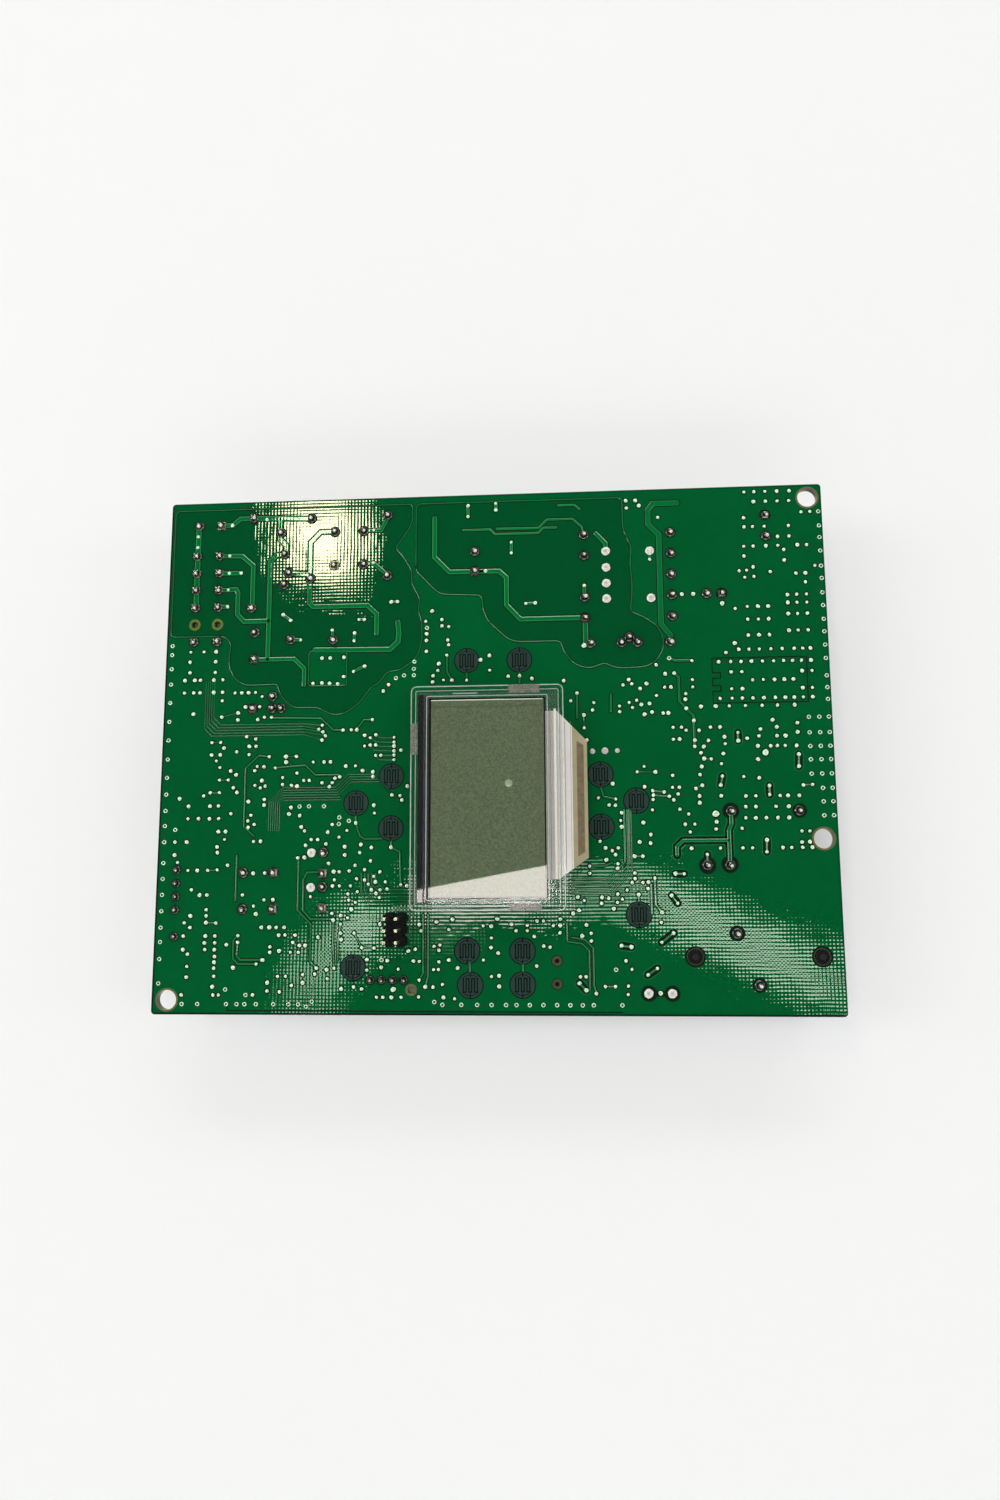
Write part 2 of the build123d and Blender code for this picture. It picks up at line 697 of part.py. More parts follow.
# ------------------------------------------------------------------ chokes
def choke(prefix, centre):
    """Common-mode choke: flanged bobbin, two windings, and a ferrite ring of two U halves."""
    cx, cy = at(*centre)
    base_x, base_y, base_z = choke_base
    z_base = z_under - base_z
    z_axis = z_base - choke_flange / 2
    with BuildPart() as bobbin:
        with BuildSketch(Plane.XY.offset(z_base)):
            with Locations((cx, cy)):
                Rectangle(base_x, base_y)
        extrude(amount=base_z)
        for step in (-1, 0, 1):
            y_flange = cy + step * (choke_spool - choke_flange_thickness) / 2
            with BuildSketch(Plane.XZ.offset(-y_flange - choke_flange_thickness / 2)):
                with Locations((cx, z_axis)):
                    Rectangle(base_x, choke_flange)
            extrude(amount=choke_flange_thickness)
        with BuildSketch(Plane.XZ.offset(-cy - choke_spool / 2)):
            with Locations((cx, z_axis)):
                Rectangle(choke_tube, choke_tube)
        extrude(amount=choke_spool)
        with BuildSketch(Plane.XZ.offset(-cy - choke_spool / 2)):
            with Locations((cx, z_axis)):
                Rectangle(choke_core_leg + 2 * choke_gap, choke_core_leg + 2 * choke_gap)
        extrude(amount=choke_spool, mode=Mode.SUBTRACT)
    finish(bobbin, f"{prefix}_bobbin")

    section = (choke_spool - 3 * choke_flange_thickness) / 2
    with BuildPart() as windings:
        for side in (-1, 1):
            y_section = cy + side * (section + choke_flange_thickness) / 2
            with BuildSketch(Plane.XZ.offset(-y_section - section / 2)):
                with Locations((cx, z_axis)):
                    RegularPolygon(choke_winding / 2, 8, major_radius=False, rotation=180 / 8)
                    Rectangle(choke_tube, choke_tube, mode=Mode.SUBTRACT)
            extrude(amount=section)
    finish(windings, f"{prefix}_windings")

    near_leg = z_axis + choke_core_leg / 2
    loop = choke_spool + 2 * choke_gap + 2 * choke_core_depth
    with BuildPart() as core:
        with BuildSketch(Plane.YZ.offset(cx - choke_core_leg / 2)):
            with Locations((cy, near_leg / 2)):
                Rectangle(loop, near_leg)
            with Locations((cy, near_leg / 2)):
                Rectangle(
                    choke_spool + 2 * choke_gap, near_leg - 2 * choke_core_leg, mode=Mode.SUBTRACT
                )
        extrude(amount=choke_core_leg)
    finish(core, f"{prefix}_core")


choke("line_choke", line_choke_centre)
choke("bus_choke", bus_choke_centre)
square_pin_group("choke_pins", choke_pins, pin_size, z_under, z_tip)

# ------------------------------------------------------------------ relay
with BuildPart() as relay_case:
    with BuildSketch(Plane.XY.offset(z_under)):
        with Locations(at(*relay_centre)):
            Rectangle(relay_size[0], relay_size[1])
    extrude(amount=-relay_size[2])
    chamfer(relay_case.edges().filter_by(Axis.Z), relay_corner)
    chamfer(relay_case.faces().sort_by(Axis.Z)[0].edges(), relay_corner)
finish(relay_case, "relay_case")
square_pin_group("relay_pins", relay_pins, pin_size, z_under, z_tip)

# ------------------------------------------------------------------ moulded transformers


def moulded_block(name, centre, size, pegs=()):
    """Potted block from the rest plane to the board, on corner feet, with pegs through the board."""
    length, width = size
    cx, cy = at(*centre)
    z_block = stand_height - foot_gap
    with BuildPart() as block:
        with BuildSketch(Plane.XY):
            with Locations((cx, cy)):
                Rectangle(length, width)
        extrude(amount=z_block)
        chamfer(block.edges().filter_by(Axis.Z), block_corner)
        chamfer(block.faces().sort_by(Axis.Z)[0].edges(), block_edge)
        with BuildSketch(Plane.XY.offset(z_block)):
            with Locations((cx, cy)):
                with GridLocations(length - 2 * foot_size, width - 2 * foot_size, 2, 2):
                    Rectangle(foot_size, foot_size)
        extrude(amount=foot_gap)
        if pegs:
            with BuildSketch(Plane.XY.offset(z_block)):
                with Locations(*[at(*p) for p in pegs]):
                    Circle(ignition_peg_radius)
            extrude(amount=foot_gap + board_thickness + ignition_peg_proud)
    finish(block, name)


moulded_block("mains_transformer", transformer_centre, transformer_case)
square_pin_group("transformer_pins", transformer_pins + ignition_pins, pin_size, z_under - foot_gap, z_tip)

moulded_block("ignition_transformer", ignition_centre, ignition_size, ignition_pegs)

with BuildPart() as high_voltage_tabs:
    tab_x, tab_y = at(ignition_centre[0] - ignition_size[0] / 2, ignition_centre[1])
    with BuildSketch(Plane.XY.offset(stand_height / 2)):
        with Locations((tab_x - tab_size[0] / 2, tab_y)):
            with GridLocations(0, tab_spacing, 1, 2):
                Rectangle(tab_size[0], tab_size[1])
    extrude(amount=tab_size[2])
finish(high_voltage_tabs, "high_voltage_tabs")

# ------------------------------------------------------------------ friction-lock headers


def friction_header(name, centre, size, lock_side, pins):
    """Base block with a springy lock wall along one long side; the pins are bored through it."""
    length, width = size
    cx, cy = at(*centre)
    with BuildPart() as header:
        with BuildSketch(Plane.XY.offset(z_under)):
            with Locations((cx, cy)):
                Rectangle(length, width)
        extrude(amount=-header_base)
        lock_x, lock_y = lock_side
        wall_x = cx + lock_x * (length - header_lock_wall) / 2
        wall_y = cy + lock_y * (width - header_lock_wall) / 2
        if lock_x:
            wall = (header_lock_wall, width * header_lock_share)
        else:
            wall = (length * header_lock_share, header_lock_wall)
        with BuildSketch(Plane.XY.offset(z_under - header_base)):
            with Locations((wall_x, wall_y)):
                Rectangle(*wall)
        extrude(amount=header_base - header_lock)
        with BuildSketch(Plane.XY.offset(z_under)):
            with Locations(*[at(*p) for p in pins]):
                Rectangle(pin_size, pin_size)
        extrude(amount=-header_base, mode=Mode.SUBTRACT)
    finish(header, name)


friction_header("sensor_header", sensor_header_centre, sensor_header_size, (1, 0), sensor_pins)
friction_header("panel_header", panel_header_centre, panel_header_size, (0, -1), panel_pins)
square_pin_group("sensor_pins", sensor_pins, pin_size, z_under - header_pin_below, z_tip)
square_pin_group("panel_pins", panel_pins, pin_size, z_under - header_pin_below, z_tip)
square_pin_group("test_pins", test_pins, pin_size, z_under - test_pin_below, z_tip)

# ------------------------------------------------------------------ surface-mounted packages


def gull_package(name, centre, body, per_side, pitch, sides):
    """Moulded package standing on gull-wing leads along two or four sides."""
    length, width, height = body
    cx, cy = at(*centre)
    with BuildPart() as package:
        with BuildSketch(Plane.XY.offset(z_under - body_gap)):
            with Locations((cx, cy)):
                Rectangle(length, width)
        extrude(amount=-height)
        chamfer(package.faces().sort_by(Axis.Z)[0].edges(), body_edge)
    finish(package, name)

    middle = body_gap + height / 2
    lead_width = pitch * gull_lead_share
    row = (per_side - 1) * pitch + lead_width
    with BuildPart() as leads:
        for outward, along, half in sides_of(sides, length, width):
            origin = (cx + outward[0] * half - along[0] * row / 2,
                      cy + outward[1] * half - along[1] * row / 2, z_under)
            down = Plane(origin=origin, x_dir=outward, z_dir=along)
            sign = 1 if down.y_dir.Z < 0 else -1
            with BuildSketch(down):
                with BuildLine():
                    Polyline(
                        (0, sign * (middle - lead_metal / 2)),
                        (gull_shoulder, 0),
                        (gull_toe, 0),
                        (gull_toe, sign * lead_metal),
                        (gull_shoulder + lead_metal, sign * lead_metal),
                        (0, sign * (middle + lead_metal)),
                        close=True,
                    )
                make_face()
            extrude(amount=row)
            gaps = []
            for i in range(per_side - 1):
                d = -row / 2 + lead_width / 2 + (i + 0.5) * pitch
                out = half + gull_toe / 2
                gaps.append((cx + outward[0] * out + along[0] * d, cy + outward[1] * out + along[1] * d))
            gap = pitch - lead_width
            cut = gull_toe + 2 * body_gap
            with BuildSketch(Plane.XY.offset(z_under)):
                with Locations(*gaps):
                    Rectangle(cut if outward[0] else gap, gap if outward[0] else cut)
            extrude(amount=-height, mode=Mode.SUBTRACT)
    finish(leads, f"{name}_leads")


def sides_of(count, length, width):
    """Outward direction, direction along the row, and half size, for each leaded side."""
    across = [((1, 0, 0), (0, 1, 0), length / 2), ((-1, 0, 0), (0, 1, 0), length / 2)]
    ends = [((0, 1, 0), (1, 0, 0), width / 2), ((0, -1, 0), (1, 0, 0), width / 2)]
    return across + ends if count == 4 else across


gull_package("microcontroller", (28.0, 48.0), (7.0, 7.0, 1.4), 8, 0.8, 4)
gull_package("output_driver", (47.5, 26.0), (3.9, 9.9, 1.4), 8, 1.27, 2)
gull_package("memory", (45.5, 45.5), (3.9, 4.9, 1.4), 4, 1.27, 2)

with BuildPart() as voltage_regulator:
    with BuildSketch(Plane.XY.offset(z_under)):
        with Locations(at(*regulator_centre)):
            Rectangle(regulator_size[0], regulator_size[1])
    extrude(amount=-regulator_size[2])
    chamfer(voltage_regulator.faces().sort_by(Axis.Z)[0].edges(), regulator_edge)
finish(voltage_regulator, "voltage_regulator")

with BuildPart() as crystal:
    with BuildSketch(Plane.XY.offset(z_under)):
        with Locations(at(*crystal_centre)):
            SlotOverall(crystal_size[0], crystal_size[1])
    extrude(amount=-crystal_size[2])
finish(crystal, "crystal")

with BuildPart() as chip_components:
    with BuildSketch(Plane.XY.offset(z_under)):
        for first_x, row_y in chip_rows:
            with Locations(*[at(first_x + chip_pitch * i, row_y) for i in range(chips_in_row)]):
                Rectangle(chip_size[0], chip_size[1])
    extrude(amount=-chip_size[2])
finish(chip_components, "chip_components")

# ------------------------------------------------------------------ solder joints
with BuildPart() as solder_joints:
    for places, half_bore, is_round in (
        (round_leads, lead_radius, True),
        (square_pins, pin_size / 2, False),
        (power_pins, power_pin / 2, False),
        (earth_pins, earth_leg / 2, False),
        (fuse_pins, fuse_leg / 2, False),
    ):
        top = (half_bore if is_round else half_bore * sqrt(2)) + solder_rim
        base = max(solder_base_radius, top + solder_rim)
        with BuildSketch(Plane.XY.offset(z_top)):
            with Locations(*[at(*p) for p in places]):
                round_section(base)
        extrude(amount=solder_height, taper=degrees(atan2(base - top, solder_height)))
        with BuildSketch(Plane.XY.offset(z_top)):
            with Locations(*[at(*p) for p in places]):
                if is_round:
                    round_section(half_bore)
                else:
                    Rectangle(2 * half_bore, 2 * half_bore)
        extrude(amount=solder_height, mode=Mode.SUBTRACT)
finish(solder_joints, "solder_joints")
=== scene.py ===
"""Looks of the boiler control board: printed copper, solder, carbon keys, display, components."""
import json
import math
import random

import bmesh
import bpy
from mathutils import Matrix, Vector


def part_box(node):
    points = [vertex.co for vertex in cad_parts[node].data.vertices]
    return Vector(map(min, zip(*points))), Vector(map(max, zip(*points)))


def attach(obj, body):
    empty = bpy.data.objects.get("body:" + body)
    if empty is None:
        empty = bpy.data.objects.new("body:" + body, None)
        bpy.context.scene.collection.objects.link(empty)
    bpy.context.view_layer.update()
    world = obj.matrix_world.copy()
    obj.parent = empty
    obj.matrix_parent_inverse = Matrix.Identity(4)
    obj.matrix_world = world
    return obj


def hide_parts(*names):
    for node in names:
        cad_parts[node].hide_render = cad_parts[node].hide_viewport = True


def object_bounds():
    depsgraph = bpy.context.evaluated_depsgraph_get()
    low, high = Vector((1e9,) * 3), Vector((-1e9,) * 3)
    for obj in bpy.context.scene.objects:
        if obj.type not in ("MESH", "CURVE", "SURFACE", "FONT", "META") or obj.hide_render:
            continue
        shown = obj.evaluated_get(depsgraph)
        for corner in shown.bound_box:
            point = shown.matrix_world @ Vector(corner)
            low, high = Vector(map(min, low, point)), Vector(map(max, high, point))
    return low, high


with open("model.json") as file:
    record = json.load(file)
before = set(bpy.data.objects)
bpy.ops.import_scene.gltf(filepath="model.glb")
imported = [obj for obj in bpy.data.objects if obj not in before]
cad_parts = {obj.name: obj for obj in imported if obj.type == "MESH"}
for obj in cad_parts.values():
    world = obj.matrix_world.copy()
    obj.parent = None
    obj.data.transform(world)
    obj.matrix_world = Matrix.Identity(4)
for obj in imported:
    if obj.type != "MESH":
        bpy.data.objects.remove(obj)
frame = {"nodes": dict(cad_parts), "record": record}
cad_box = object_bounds()
random.seed(7)

MM = 0.001
BOARD_LOW, BOARD_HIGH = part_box("circuit_board")
FACE = BOARD_HIGH.z          # display side of the laminate
THICK = (FACE - BOARD_LOW.z) / MM
LENGTH = (BOARD_HIGH.x - BOARD_LOW.x) / MM
WIDTH = (BOARD_HIGH.y - BOARD_LOW.y) / MM
MASK = 0.035                 # solder mask over copper stands this far above bare laminate, mm
OUTLINE = 0.004               # the dark outlines of tracks stand this far above the mask, mm
ROOT = "root"


def spot(x, y, z=0.0):
    """A place z mm above the display side, x and y mm from the board's lower left corner."""
    return Vector((BOARD_LOW.x + x * MM, BOARD_LOW.y + y * MM, FACE + z * MM))


# ------------------------------------------------------------------ material helpers
class Look:
    """A material under construction: its nodes and its Principled shader."""

    def __init__(self, name):
        self.mat = bpy.data.materials.new(name)
        self.mat.use_nodes = True
        self.nodes, self.links = self.mat.node_tree.nodes, self.mat.node_tree.links
        self.shader = self.nodes["Principled BSDF"]

    def feed(self, node, values):
        """Each named input gets a number, a colour or another node's output."""
        for name, value in values.items():
            if isinstance(value, bpy.types.NodeSocket):
                self.links.new(value, node.inputs[name])
            else:
                node.inputs[name].default_value = value

    def node(self, kind, values, output=None, **settings):
        """New node with its inputs fed, or the output asked for of that node."""
        node = self.nodes.new("ShaderNode" + kind)
        for name, value in settings.items():
            setattr(node, name, value)
        self.feed(node, values)
        return node.outputs[output] if output else node

    def surface(self, values):
        """Feeds the shader."""
        self.feed(self.shader, values)

    def place(self):
        return self.node("TexCoord", {}, "Object")

    def noise(self, scale, detail=3.0):
        """Noise over the piece's own coordinates, scale in cycles per metre."""
        return self.node("TexNoise", {"Vector": self.place(), "Scale": scale, "Detail": detail}, "Fac")

    def maths(self, operation, *inputs):
        return self.node("Math", dict(enumerate(inputs)), "Value", operation=operation)

    def paint(self, source, stops):
        """Base colour that runs through the stops as the source rises."""
        node = self.node("ValToRGB", {"Fac": source})
        elements = node.color_ramp.elements
        while len(elements) < len(stops):
            elements.new(0.5)
        for element, (position, colour) in zip(elements, stops):
            element.position = position
            element.color = (*colour, 1.0)
        self.surface({"Base Color": node.outputs["Color"]})

    def bump(self, height, strength, distance, *sockets):
        normal = self.node("Bump", {"Height": height, "Strength": strength, "Distance": distance}, "Normal")
        self.surface(dict.fromkeys(sockets or ("Normal",), normal))


def linear(r, g, b):
    """A colour written as 0-255 screen values, in the renderer's linear values."""
    def one(v):
        v /= 255
        return v / 12.92 if v <= 0.04045 else ((v + 0.055) / 1.055) ** 2.4
    return (one(r), one(g), one(b))


def mottled(colour, share):
    """Stops from a little darker than a 0-255 colour to a little lighter."""
    return [(position, tuple(min(1.0, c * factor) for c in linear(*colour)))
            for position, factor in ((0.3, 1 - share), (0.7, 1 + share))]


FINE_BUMP = 0.00004           # depth of the grain on moulded and painted surfaces, m


def plain(name, colour, roughness, metallic=0.0, mottle=0.12, scale=900.0, bump=0.15, grain=2500.0,
          coat=0.0, coat_roughness=0.1, transmission=0.0, ior=None, alpha=1.0, specular=0.5):
    """Moulded, painted or metal surface: mottled colour, uneven roughness, fine bump."""
    look = Look(name)
    cloud = look.noise(scale)
    look.paint(cloud, mottled(colour, mottle))
    limits = {"To Min": max(0.02, roughness * 0.8), "To Max": min(1.0, roughness * 1.25)}
    look.surface({"Roughness": look.node("MapRange", {"Value": cloud, **limits}, "Result"),
                  "Metallic": metallic, "Specular IOR Level": specular, "Coat Weight": coat,
                  "Transmission Weight": transmission, "Alpha": alpha})
    if coat:
        look.surface({"Coat Roughness": coat_roughness})
    if ior:
        look.surface({"IOR": ior})
    if bump:
        look.bump(look.noise(grain, 2.0), bump, FINE_BUMP)
    return look.mat


WEAVE_PITCH = 0.8 * MM
WEAVE_BUMP = 0.00001          # depth of the weave under the gloss, m
WAVINESS = 24.0               # height of the slow waves over the weave's
MASK_WEAVE = 0.36             # how strongly the weave shows through the mask


def coat_over(look, specular, coat_roughness):
    """A matte base under a clear coat that carries nearly all of the gloss."""
    look.surface({"Roughness": 0.5, "Specular IOR Level": specular, "Coat Weight": 1.0,
                  "Coat Roughness": coat_roughness})


def gloss_over_weave(look, strength):
    """Clear gloss on the mask: its reflections break up over the glass weave, which shows through the resin
    as uneven bands both ways, and over the board's slight waviness."""
    coat_over(look, 0.0, 0.014)
    band = {"Vector": look.place(), "Scale": 2 * math.pi / (20 * WEAVE_PITCH), "Distortion": 1.2,
            "Detail": 1.0, "Detail Scale": 0.4}
    weave = [look.node("TexWave", band, "Fac", wave_type="BANDS", bands_direction=way) for way in ("X", "Y")]
    height = look.maths("MULTIPLY_ADD", look.noise(90.0), WAVINESS, look.maths("ADD", *weave))
    look.bump(height, strength, WEAVE_BUMP, "Normal", "Coat Normal")


def mask_material(name, colour, weave=MASK_WEAVE):
    """Green solder mask: glossy resin over the weave."""
    look = Look(name)
    look.paint(look.noise(60.0, 4.0), mottled(colour, 0.05))
    gloss_over_weave(look, weave)
    return look.mat


def board_material():
    """Mask over bare laminate on the board's two faces, cut glass fibre on its edges."""
    look = Look("laminate_board")
    normal = look.node("NewGeometry", {}, "True Normal")
    upright = look.maths("ABSOLUTE", look.node("SeparateXYZ", {"Vector": normal}, "Z"))
    look.paint(upright, [(0.4, linear(54, 60, 40)), (0.6, linear(*MOAT_GREEN))])
    gloss_over_weave(look, MASK_WEAVE)
    return look.mat


def clear_material(name, colour, alpha, bump=0.08):
    """Thin clear plastic or glass, seen through, with a pale tint."""
    return plain(name, colour, 0.06, mottle=0.02, scale=300.0, bump=bump, grain=600.0, coat=1.0,
                 coat_roughness=0.03, ior=1.5, alpha=alpha)


def display_material():
    """Olive polariser over a grey-green cell, with fine speckle."""
    look = Look("polariser_film")
    speckle = look.noise(2600.0, 6.0)
    look.paint(speckle, [(0.38, linear(74, 87, 63)), (0.5, linear(83, 96, 71)), (0.62, linear(93, 106, 80))])
    coat_over(look, 0.1, 0.015)
    look.bump(speckle, 0.2, WEAVE_BUMP)
    return look.mat


POUR_GREEN = (0, 84, 41)
MOAT_GREEN = (0, 74, 37)
TRACK_GREEN = (6, 102, 52)
EDGE_GREEN = (30, 132, 66)
GAP_GREEN = (0, 22, 12)

mask_pour = mask_material("mask_over_copper", POUR_GREEN)
# mask over copper tracks; the same lighter green paints highlight lines round the moats
mask_track_and_highlight = mask_material("mask_over_track_and_highlight", TRACK_GREEN, 0.2)
# lighter green on track shoulders and sheet edges: partly the thinner mask there, partly painted highlight
mask_edge = mask_material("mask_thin_and_highlit_at_edge", EDGE_GREEN, 0.15)
# dark mask over gaps in the copper; the same dark paints shade lines along the board's left and bottom edges
mask_gap_and_shade = plain("mask_in_gap_and_shade", GAP_GREEN, 0.6, bump=0.1, specular=0.1)
bare_laminate = plain("bare_laminate", (88, 84, 44), 0.6, scale=3000.0, bump=0.4)
solder_bright = plain("solder_bright", (206, 236, 204), 0.22, metallic=0.4, mottle=0.1, scale=2500.0,
                      bump=0.4, grain=4000.0)
# painted shade: the solder's metal has a dark grey colour, standing in for the dark surroundings that it
# reflects
solder_dark = plain("solder_joint_metal", (78, 80, 72), 0.18, metallic=1.0, mottle=0.5, scale=1400.0,
                    bump=0.6, grain=3000.0)
# tinned lands; the same white also paints the highlights on the solder joints
land_white_and_glint = plain("tinned_land_and_glint", (214, 214, 206), 0.34, metallic=0.4, mottle=0.06, scale=1800.0, bump=0.3)
land_grey = plain("flat_test_land", (176, 178, 172), 0.4, metallic=0.3, mottle=0.06, scale=1800.0, bump=0.2)
hole_dark = plain("hole_shadow", (8, 22, 14), 0.6, bump=0.1)
via_green = plain("via_middle", (22, 72, 46), 0.4, mottle=0.1, bump=0.1, specular=0.2)
bare_rim = plain("bare_rim", (62, 66, 40), 0.6, scale=3000.0, bump=0.3, specular=0.2)
olive_rim = plain("olive_rim", (92, 104, 38), 0.6, scale=3000.0, bump=0.3, specular=0.2)
# dull black of the peg ends and the header; the same black paints the shade inside two holes
dull_black_and_shade = plain("dull_black_and_shade", (12, 12, 14), 0.6, bump=0.1, specular=0.1)
peg_middle = plain("peg_middle", (34, 34, 38), 0.6, bump=0.1, specular=0.1)
joint_shadow = plain("joint_shadow", (2, 24, 14), 0.6, mottle=0.2, scale=2200.0, specular=0.1)
carbon = plain("carbon_print", (34, 54, 49), 0.5, mottle=0.12, scale=5000.0, bump=0.4, grain=7000.0,
               specular=0.12)
carbon_gap = plain("carbon_gap", (2, 9, 7), 0.5, mottle=0.1, scale=5000.0, bump=0.2, specular=0.05)


# ------------------------------------------------------------------ mesh helpers
def add_piece(name, mesh, slot, *replaced):
    """New piece on the board's one body, in place of the CAD nodes named."""
    piece = bpy.data.objects.new(name, mesh)
    bpy.context.scene.collection.objects.link(piece)
    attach(piece, ROOT)
    if replaced:
        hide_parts(*replaced)


# (reach, width) of a strip's round end, as shares of half its width
ROUND_END = [(0.55, 0.84), (0.87, 0.5), (1.0, 0.15)]


class Batch:
    """Mesh gathered from many small shapes. A kind is one of the batch's materials, by default its first."""

    def __init__(self, name, *materials):
        self.name, self.materials = name, materials
        self.points, self.faces, self.kinds, self.smooth = [], [], [], []

    def add(self, face, kind=None, smooth=False):
        self.faces.append(face)
        self.kinds.append(self.materials.index(kind) if kind else 0)
        self.smooth.append(smooth)

    def turned(self, x, y, profile, segments=12, kind=None, start=0.0, smooth=True, kinds=None, wobble=None):
        """Surface of revolution about a vertical axis at x, y; the profile is (radius, height) in mm."""
        rings = []
        for radius, height in profile:
            first = len(self.points)
            if radius <= 0:
                rings.append([first])
                self.points.append(spot(x, y, height))
                continue
            for i in range(segments):
                angle = start + 2 * math.pi * i / segments
                reach = radius * wobble[i] if wobble else radius
                self.points.append(spot(x + reach * math.cos(angle), y + reach * math.sin(angle), height))
            rings.append(list(range(first, first + segments)))
        for step, (low, high) in enumerate(zip(rings, rings[1:])):
            ring_kind = kinds[step] if kinds else kind
            for i in range(segments):
                j = (i + 1) % segments
                if len(high) == 1:
                    face = (low[i], low[j], high[0])
                elif len(low) == 1:
                    face = (low[0], high[j], high[i])
                else:
                    face = (low[i], low[j], high[j], high[i])
                self.add(face, ring_kind, smooth)

    def disc(self, x, y, radius, level, segments, kind=None, dome=0.003):
        """Nearly flat disc, dome mm higher in the middle."""
        self.turned(x, y, [(radius, level), (0, level + dome)], segments, kind)

    def strip(self, path, width, height, base=0.0, shoulder=0.12, kind=None, edge_kind=None):
        """Raised track with sloping shoulders and round ends along a path of mm points."""
        edge_kind = edge_kind or kind
        stations = []
        half = width / 2
        points = [Vector(p) for p in path]
        for i, point in enumerate(points):
            before = (point - points[i - 1]).normalized() if i else None
            after = (points[i + 1] - point).normalized() if i + 1 < len(points) else None
            if before is None or after is None:
                side = Vector((-(after or before).y, (after or before).x))
            else:
                mean = (before + after).normalized()
                side = Vector((-mean.y, mean.x))
                side /= max(0.35, side.dot(Vector((-after.y, after.x))))
            stations.append((point, side, 1.0))
        head = (points[0] - points[1]).normalized()
        tail = (points[-1] - points[-2]).normalized()
        for out, keep in ROUND_END:
            stations.insert(0, (points[0] + head * half * out, stations[0][1].normalized(), keep))
            stations.append((points[-1] + tail * half * out, stations[-1][1].normalized(), keep))
        first = len(self.points)
        inner = max(half - shoulder, half * 0.35)
        for point, side, keep in stations:
            for across, level in ((-half, 0), (-inner, height), (inner, height), (half, 0)):
                p = point + side * across * keep
                self.points.append(spot(p.x, p.y, base + level))
        for i in range(len(stations) - 1):
            a, b = first + 4 * i, first + 4 * (i + 1)
            for k, part_kind in enumerate((edge_kind, kind, edge_kind)):
                self.add((a + k, b + k, b + k + 1, a + k + 1), part_kind)

    def outline(self, path, width, base=MASK):
        """Flat dark line, wider than the track that it shows round."""
        self.strip(path, width, OUTLINE, base, 0.02, mask_gap_and_shade)

    def box(self, x, y, half_x, half_y, low, high, kind=None, bevel=0.0):
        """Upright block, its top edges sloped by bevel, mm."""
        first = len(self.points)
        for inset, level in ((0, low), (0, high - bevel), (bevel, high)):
            for sx, sy in ((-1, -1), (1, -1), (1, 1), (-1, 1)):
                self.points.append(spot(x + sx * (half_x - inset), y + sy * (half_y - inset), level))
        for ring in (0, 4):
            for i in range(4):
                low_i, low_j = first + ring + i, first + ring + (i + 1) % 4
                self.add((low_i, low_j, low_j + 4, low_i + 4), kind)
        self.add((first + 8, first + 9, first + 10, first + 11), kind)

    def finish(self, slot, *replaced):
        """The piece itself, with what was gathered so far."""
        mesh = bpy.data.meshes.new(self.name)
        mesh.from_pydata([tuple(p) for p in self.points], [], self.faces)
        for mat in self.materials:
            mesh.materials.append(mat)
        mesh.polygons.foreach_set("material_index", self.kinds)
        mesh.polygons.foreach_set("use_smooth", self.smooth)
        mesh.update()
        add_piece(self.name, mesh, slot, *replaced)


def circle(x, y, radius, segments=28):
    """Closed loop of points round x, y."""
    turns = [2 * math.pi * i / segments for i in range(segments)]
    return [(x + radius * math.cos(a), y + radius * math.sin(a)) for a in turns]


def rounded(points, reach=1.2, steps=4):
    """Closed outline with each corner turned into a short curve."""
    out = []
    for i, point in enumerate(points):
        here = Vector(point)
        toward = [Vector(points[k]) - here for k in (i - 1, (i + 1) % len(points))]
        entry, leave = (here + way.normalized() * min(reach, way.length * 0.45) for way in toward)
        for s in range(steps + 1):
            t = s / steps
            p = entry * (1 - t) ** 2 + here * 2 * t * (1 - t) + leave * t ** 2
            out.append((p.x, p.y))
    return out


def curve_mesh(name, curve, z=0.0):
    """Mesh of a curve, raised by z."""
    source = bpy.data.objects.new(name, curve)
    source.location.z = z
    bpy.context.scene.collection.objects.link(source)
    bpy.context.view_layer.update()
    mesh = bpy.data.meshes.new_from_object(source.evaluated_get(bpy.context.evaluated_depsgraph_get()))
    mesh.transform(source.matrix_world)
    bpy.data.objects.remove(source)
    mesh.materials.clear()
    return mesh


def sheet(name, loops, low, high, mats, slot):
    """Flat sheet from closed loops, filled where an odd number overlap; its edge has the last material."""
    curve = bpy.data.curves.new(name, "CURVE")
    curve.dimensions = "2D"
    curve.fill_mode = "BOTH"
    for loop in loops:
        spline = curve.splines.new("POLY")
        spline.points.add(len(loop) - 1)
        for p, (x, y) in zip(spline.points, loop):
            p.co = (BOARD_LOW.x + x * MM, BOARD_LOW.y + y * MM, 0, 1)
        spline.use_cyclic_u = True
    curve.extrude = (high - low) / 2 * MM
    mesh = curve_mesh(name + "_outline", curve, FACE + (low + high) / 2 * MM)
    for mat in mats:
        mesh.materials.append(mat)
    for face in mesh.polygons:
        face.material_index = 0 if abs(face.normal.z) > 0.5 else len(mats) - 1
    mesh.name = name
    add_piece(name, mesh, slot)


# ------------------------------------------------------------------ where things are on the board, mm
MOUNT_HOLES = [(3.5, 3.2), (LENGTH - 3.2, WIDTH - 3.2), (LENGTH - 3.2, WIDTH - 81.8)]
EMPTY_HOLES = [(6.6, 89.9), (12.1, 89.9), (59.0, 5.5), (91.4, 11.8), (91.4, 6.8)]
HOLE_RIMS = [(1.38, olive_rim), (1.38, olive_rim), (1.3, bare_laminate), (1.12, bare_rim), (1.12, bare_rim)]
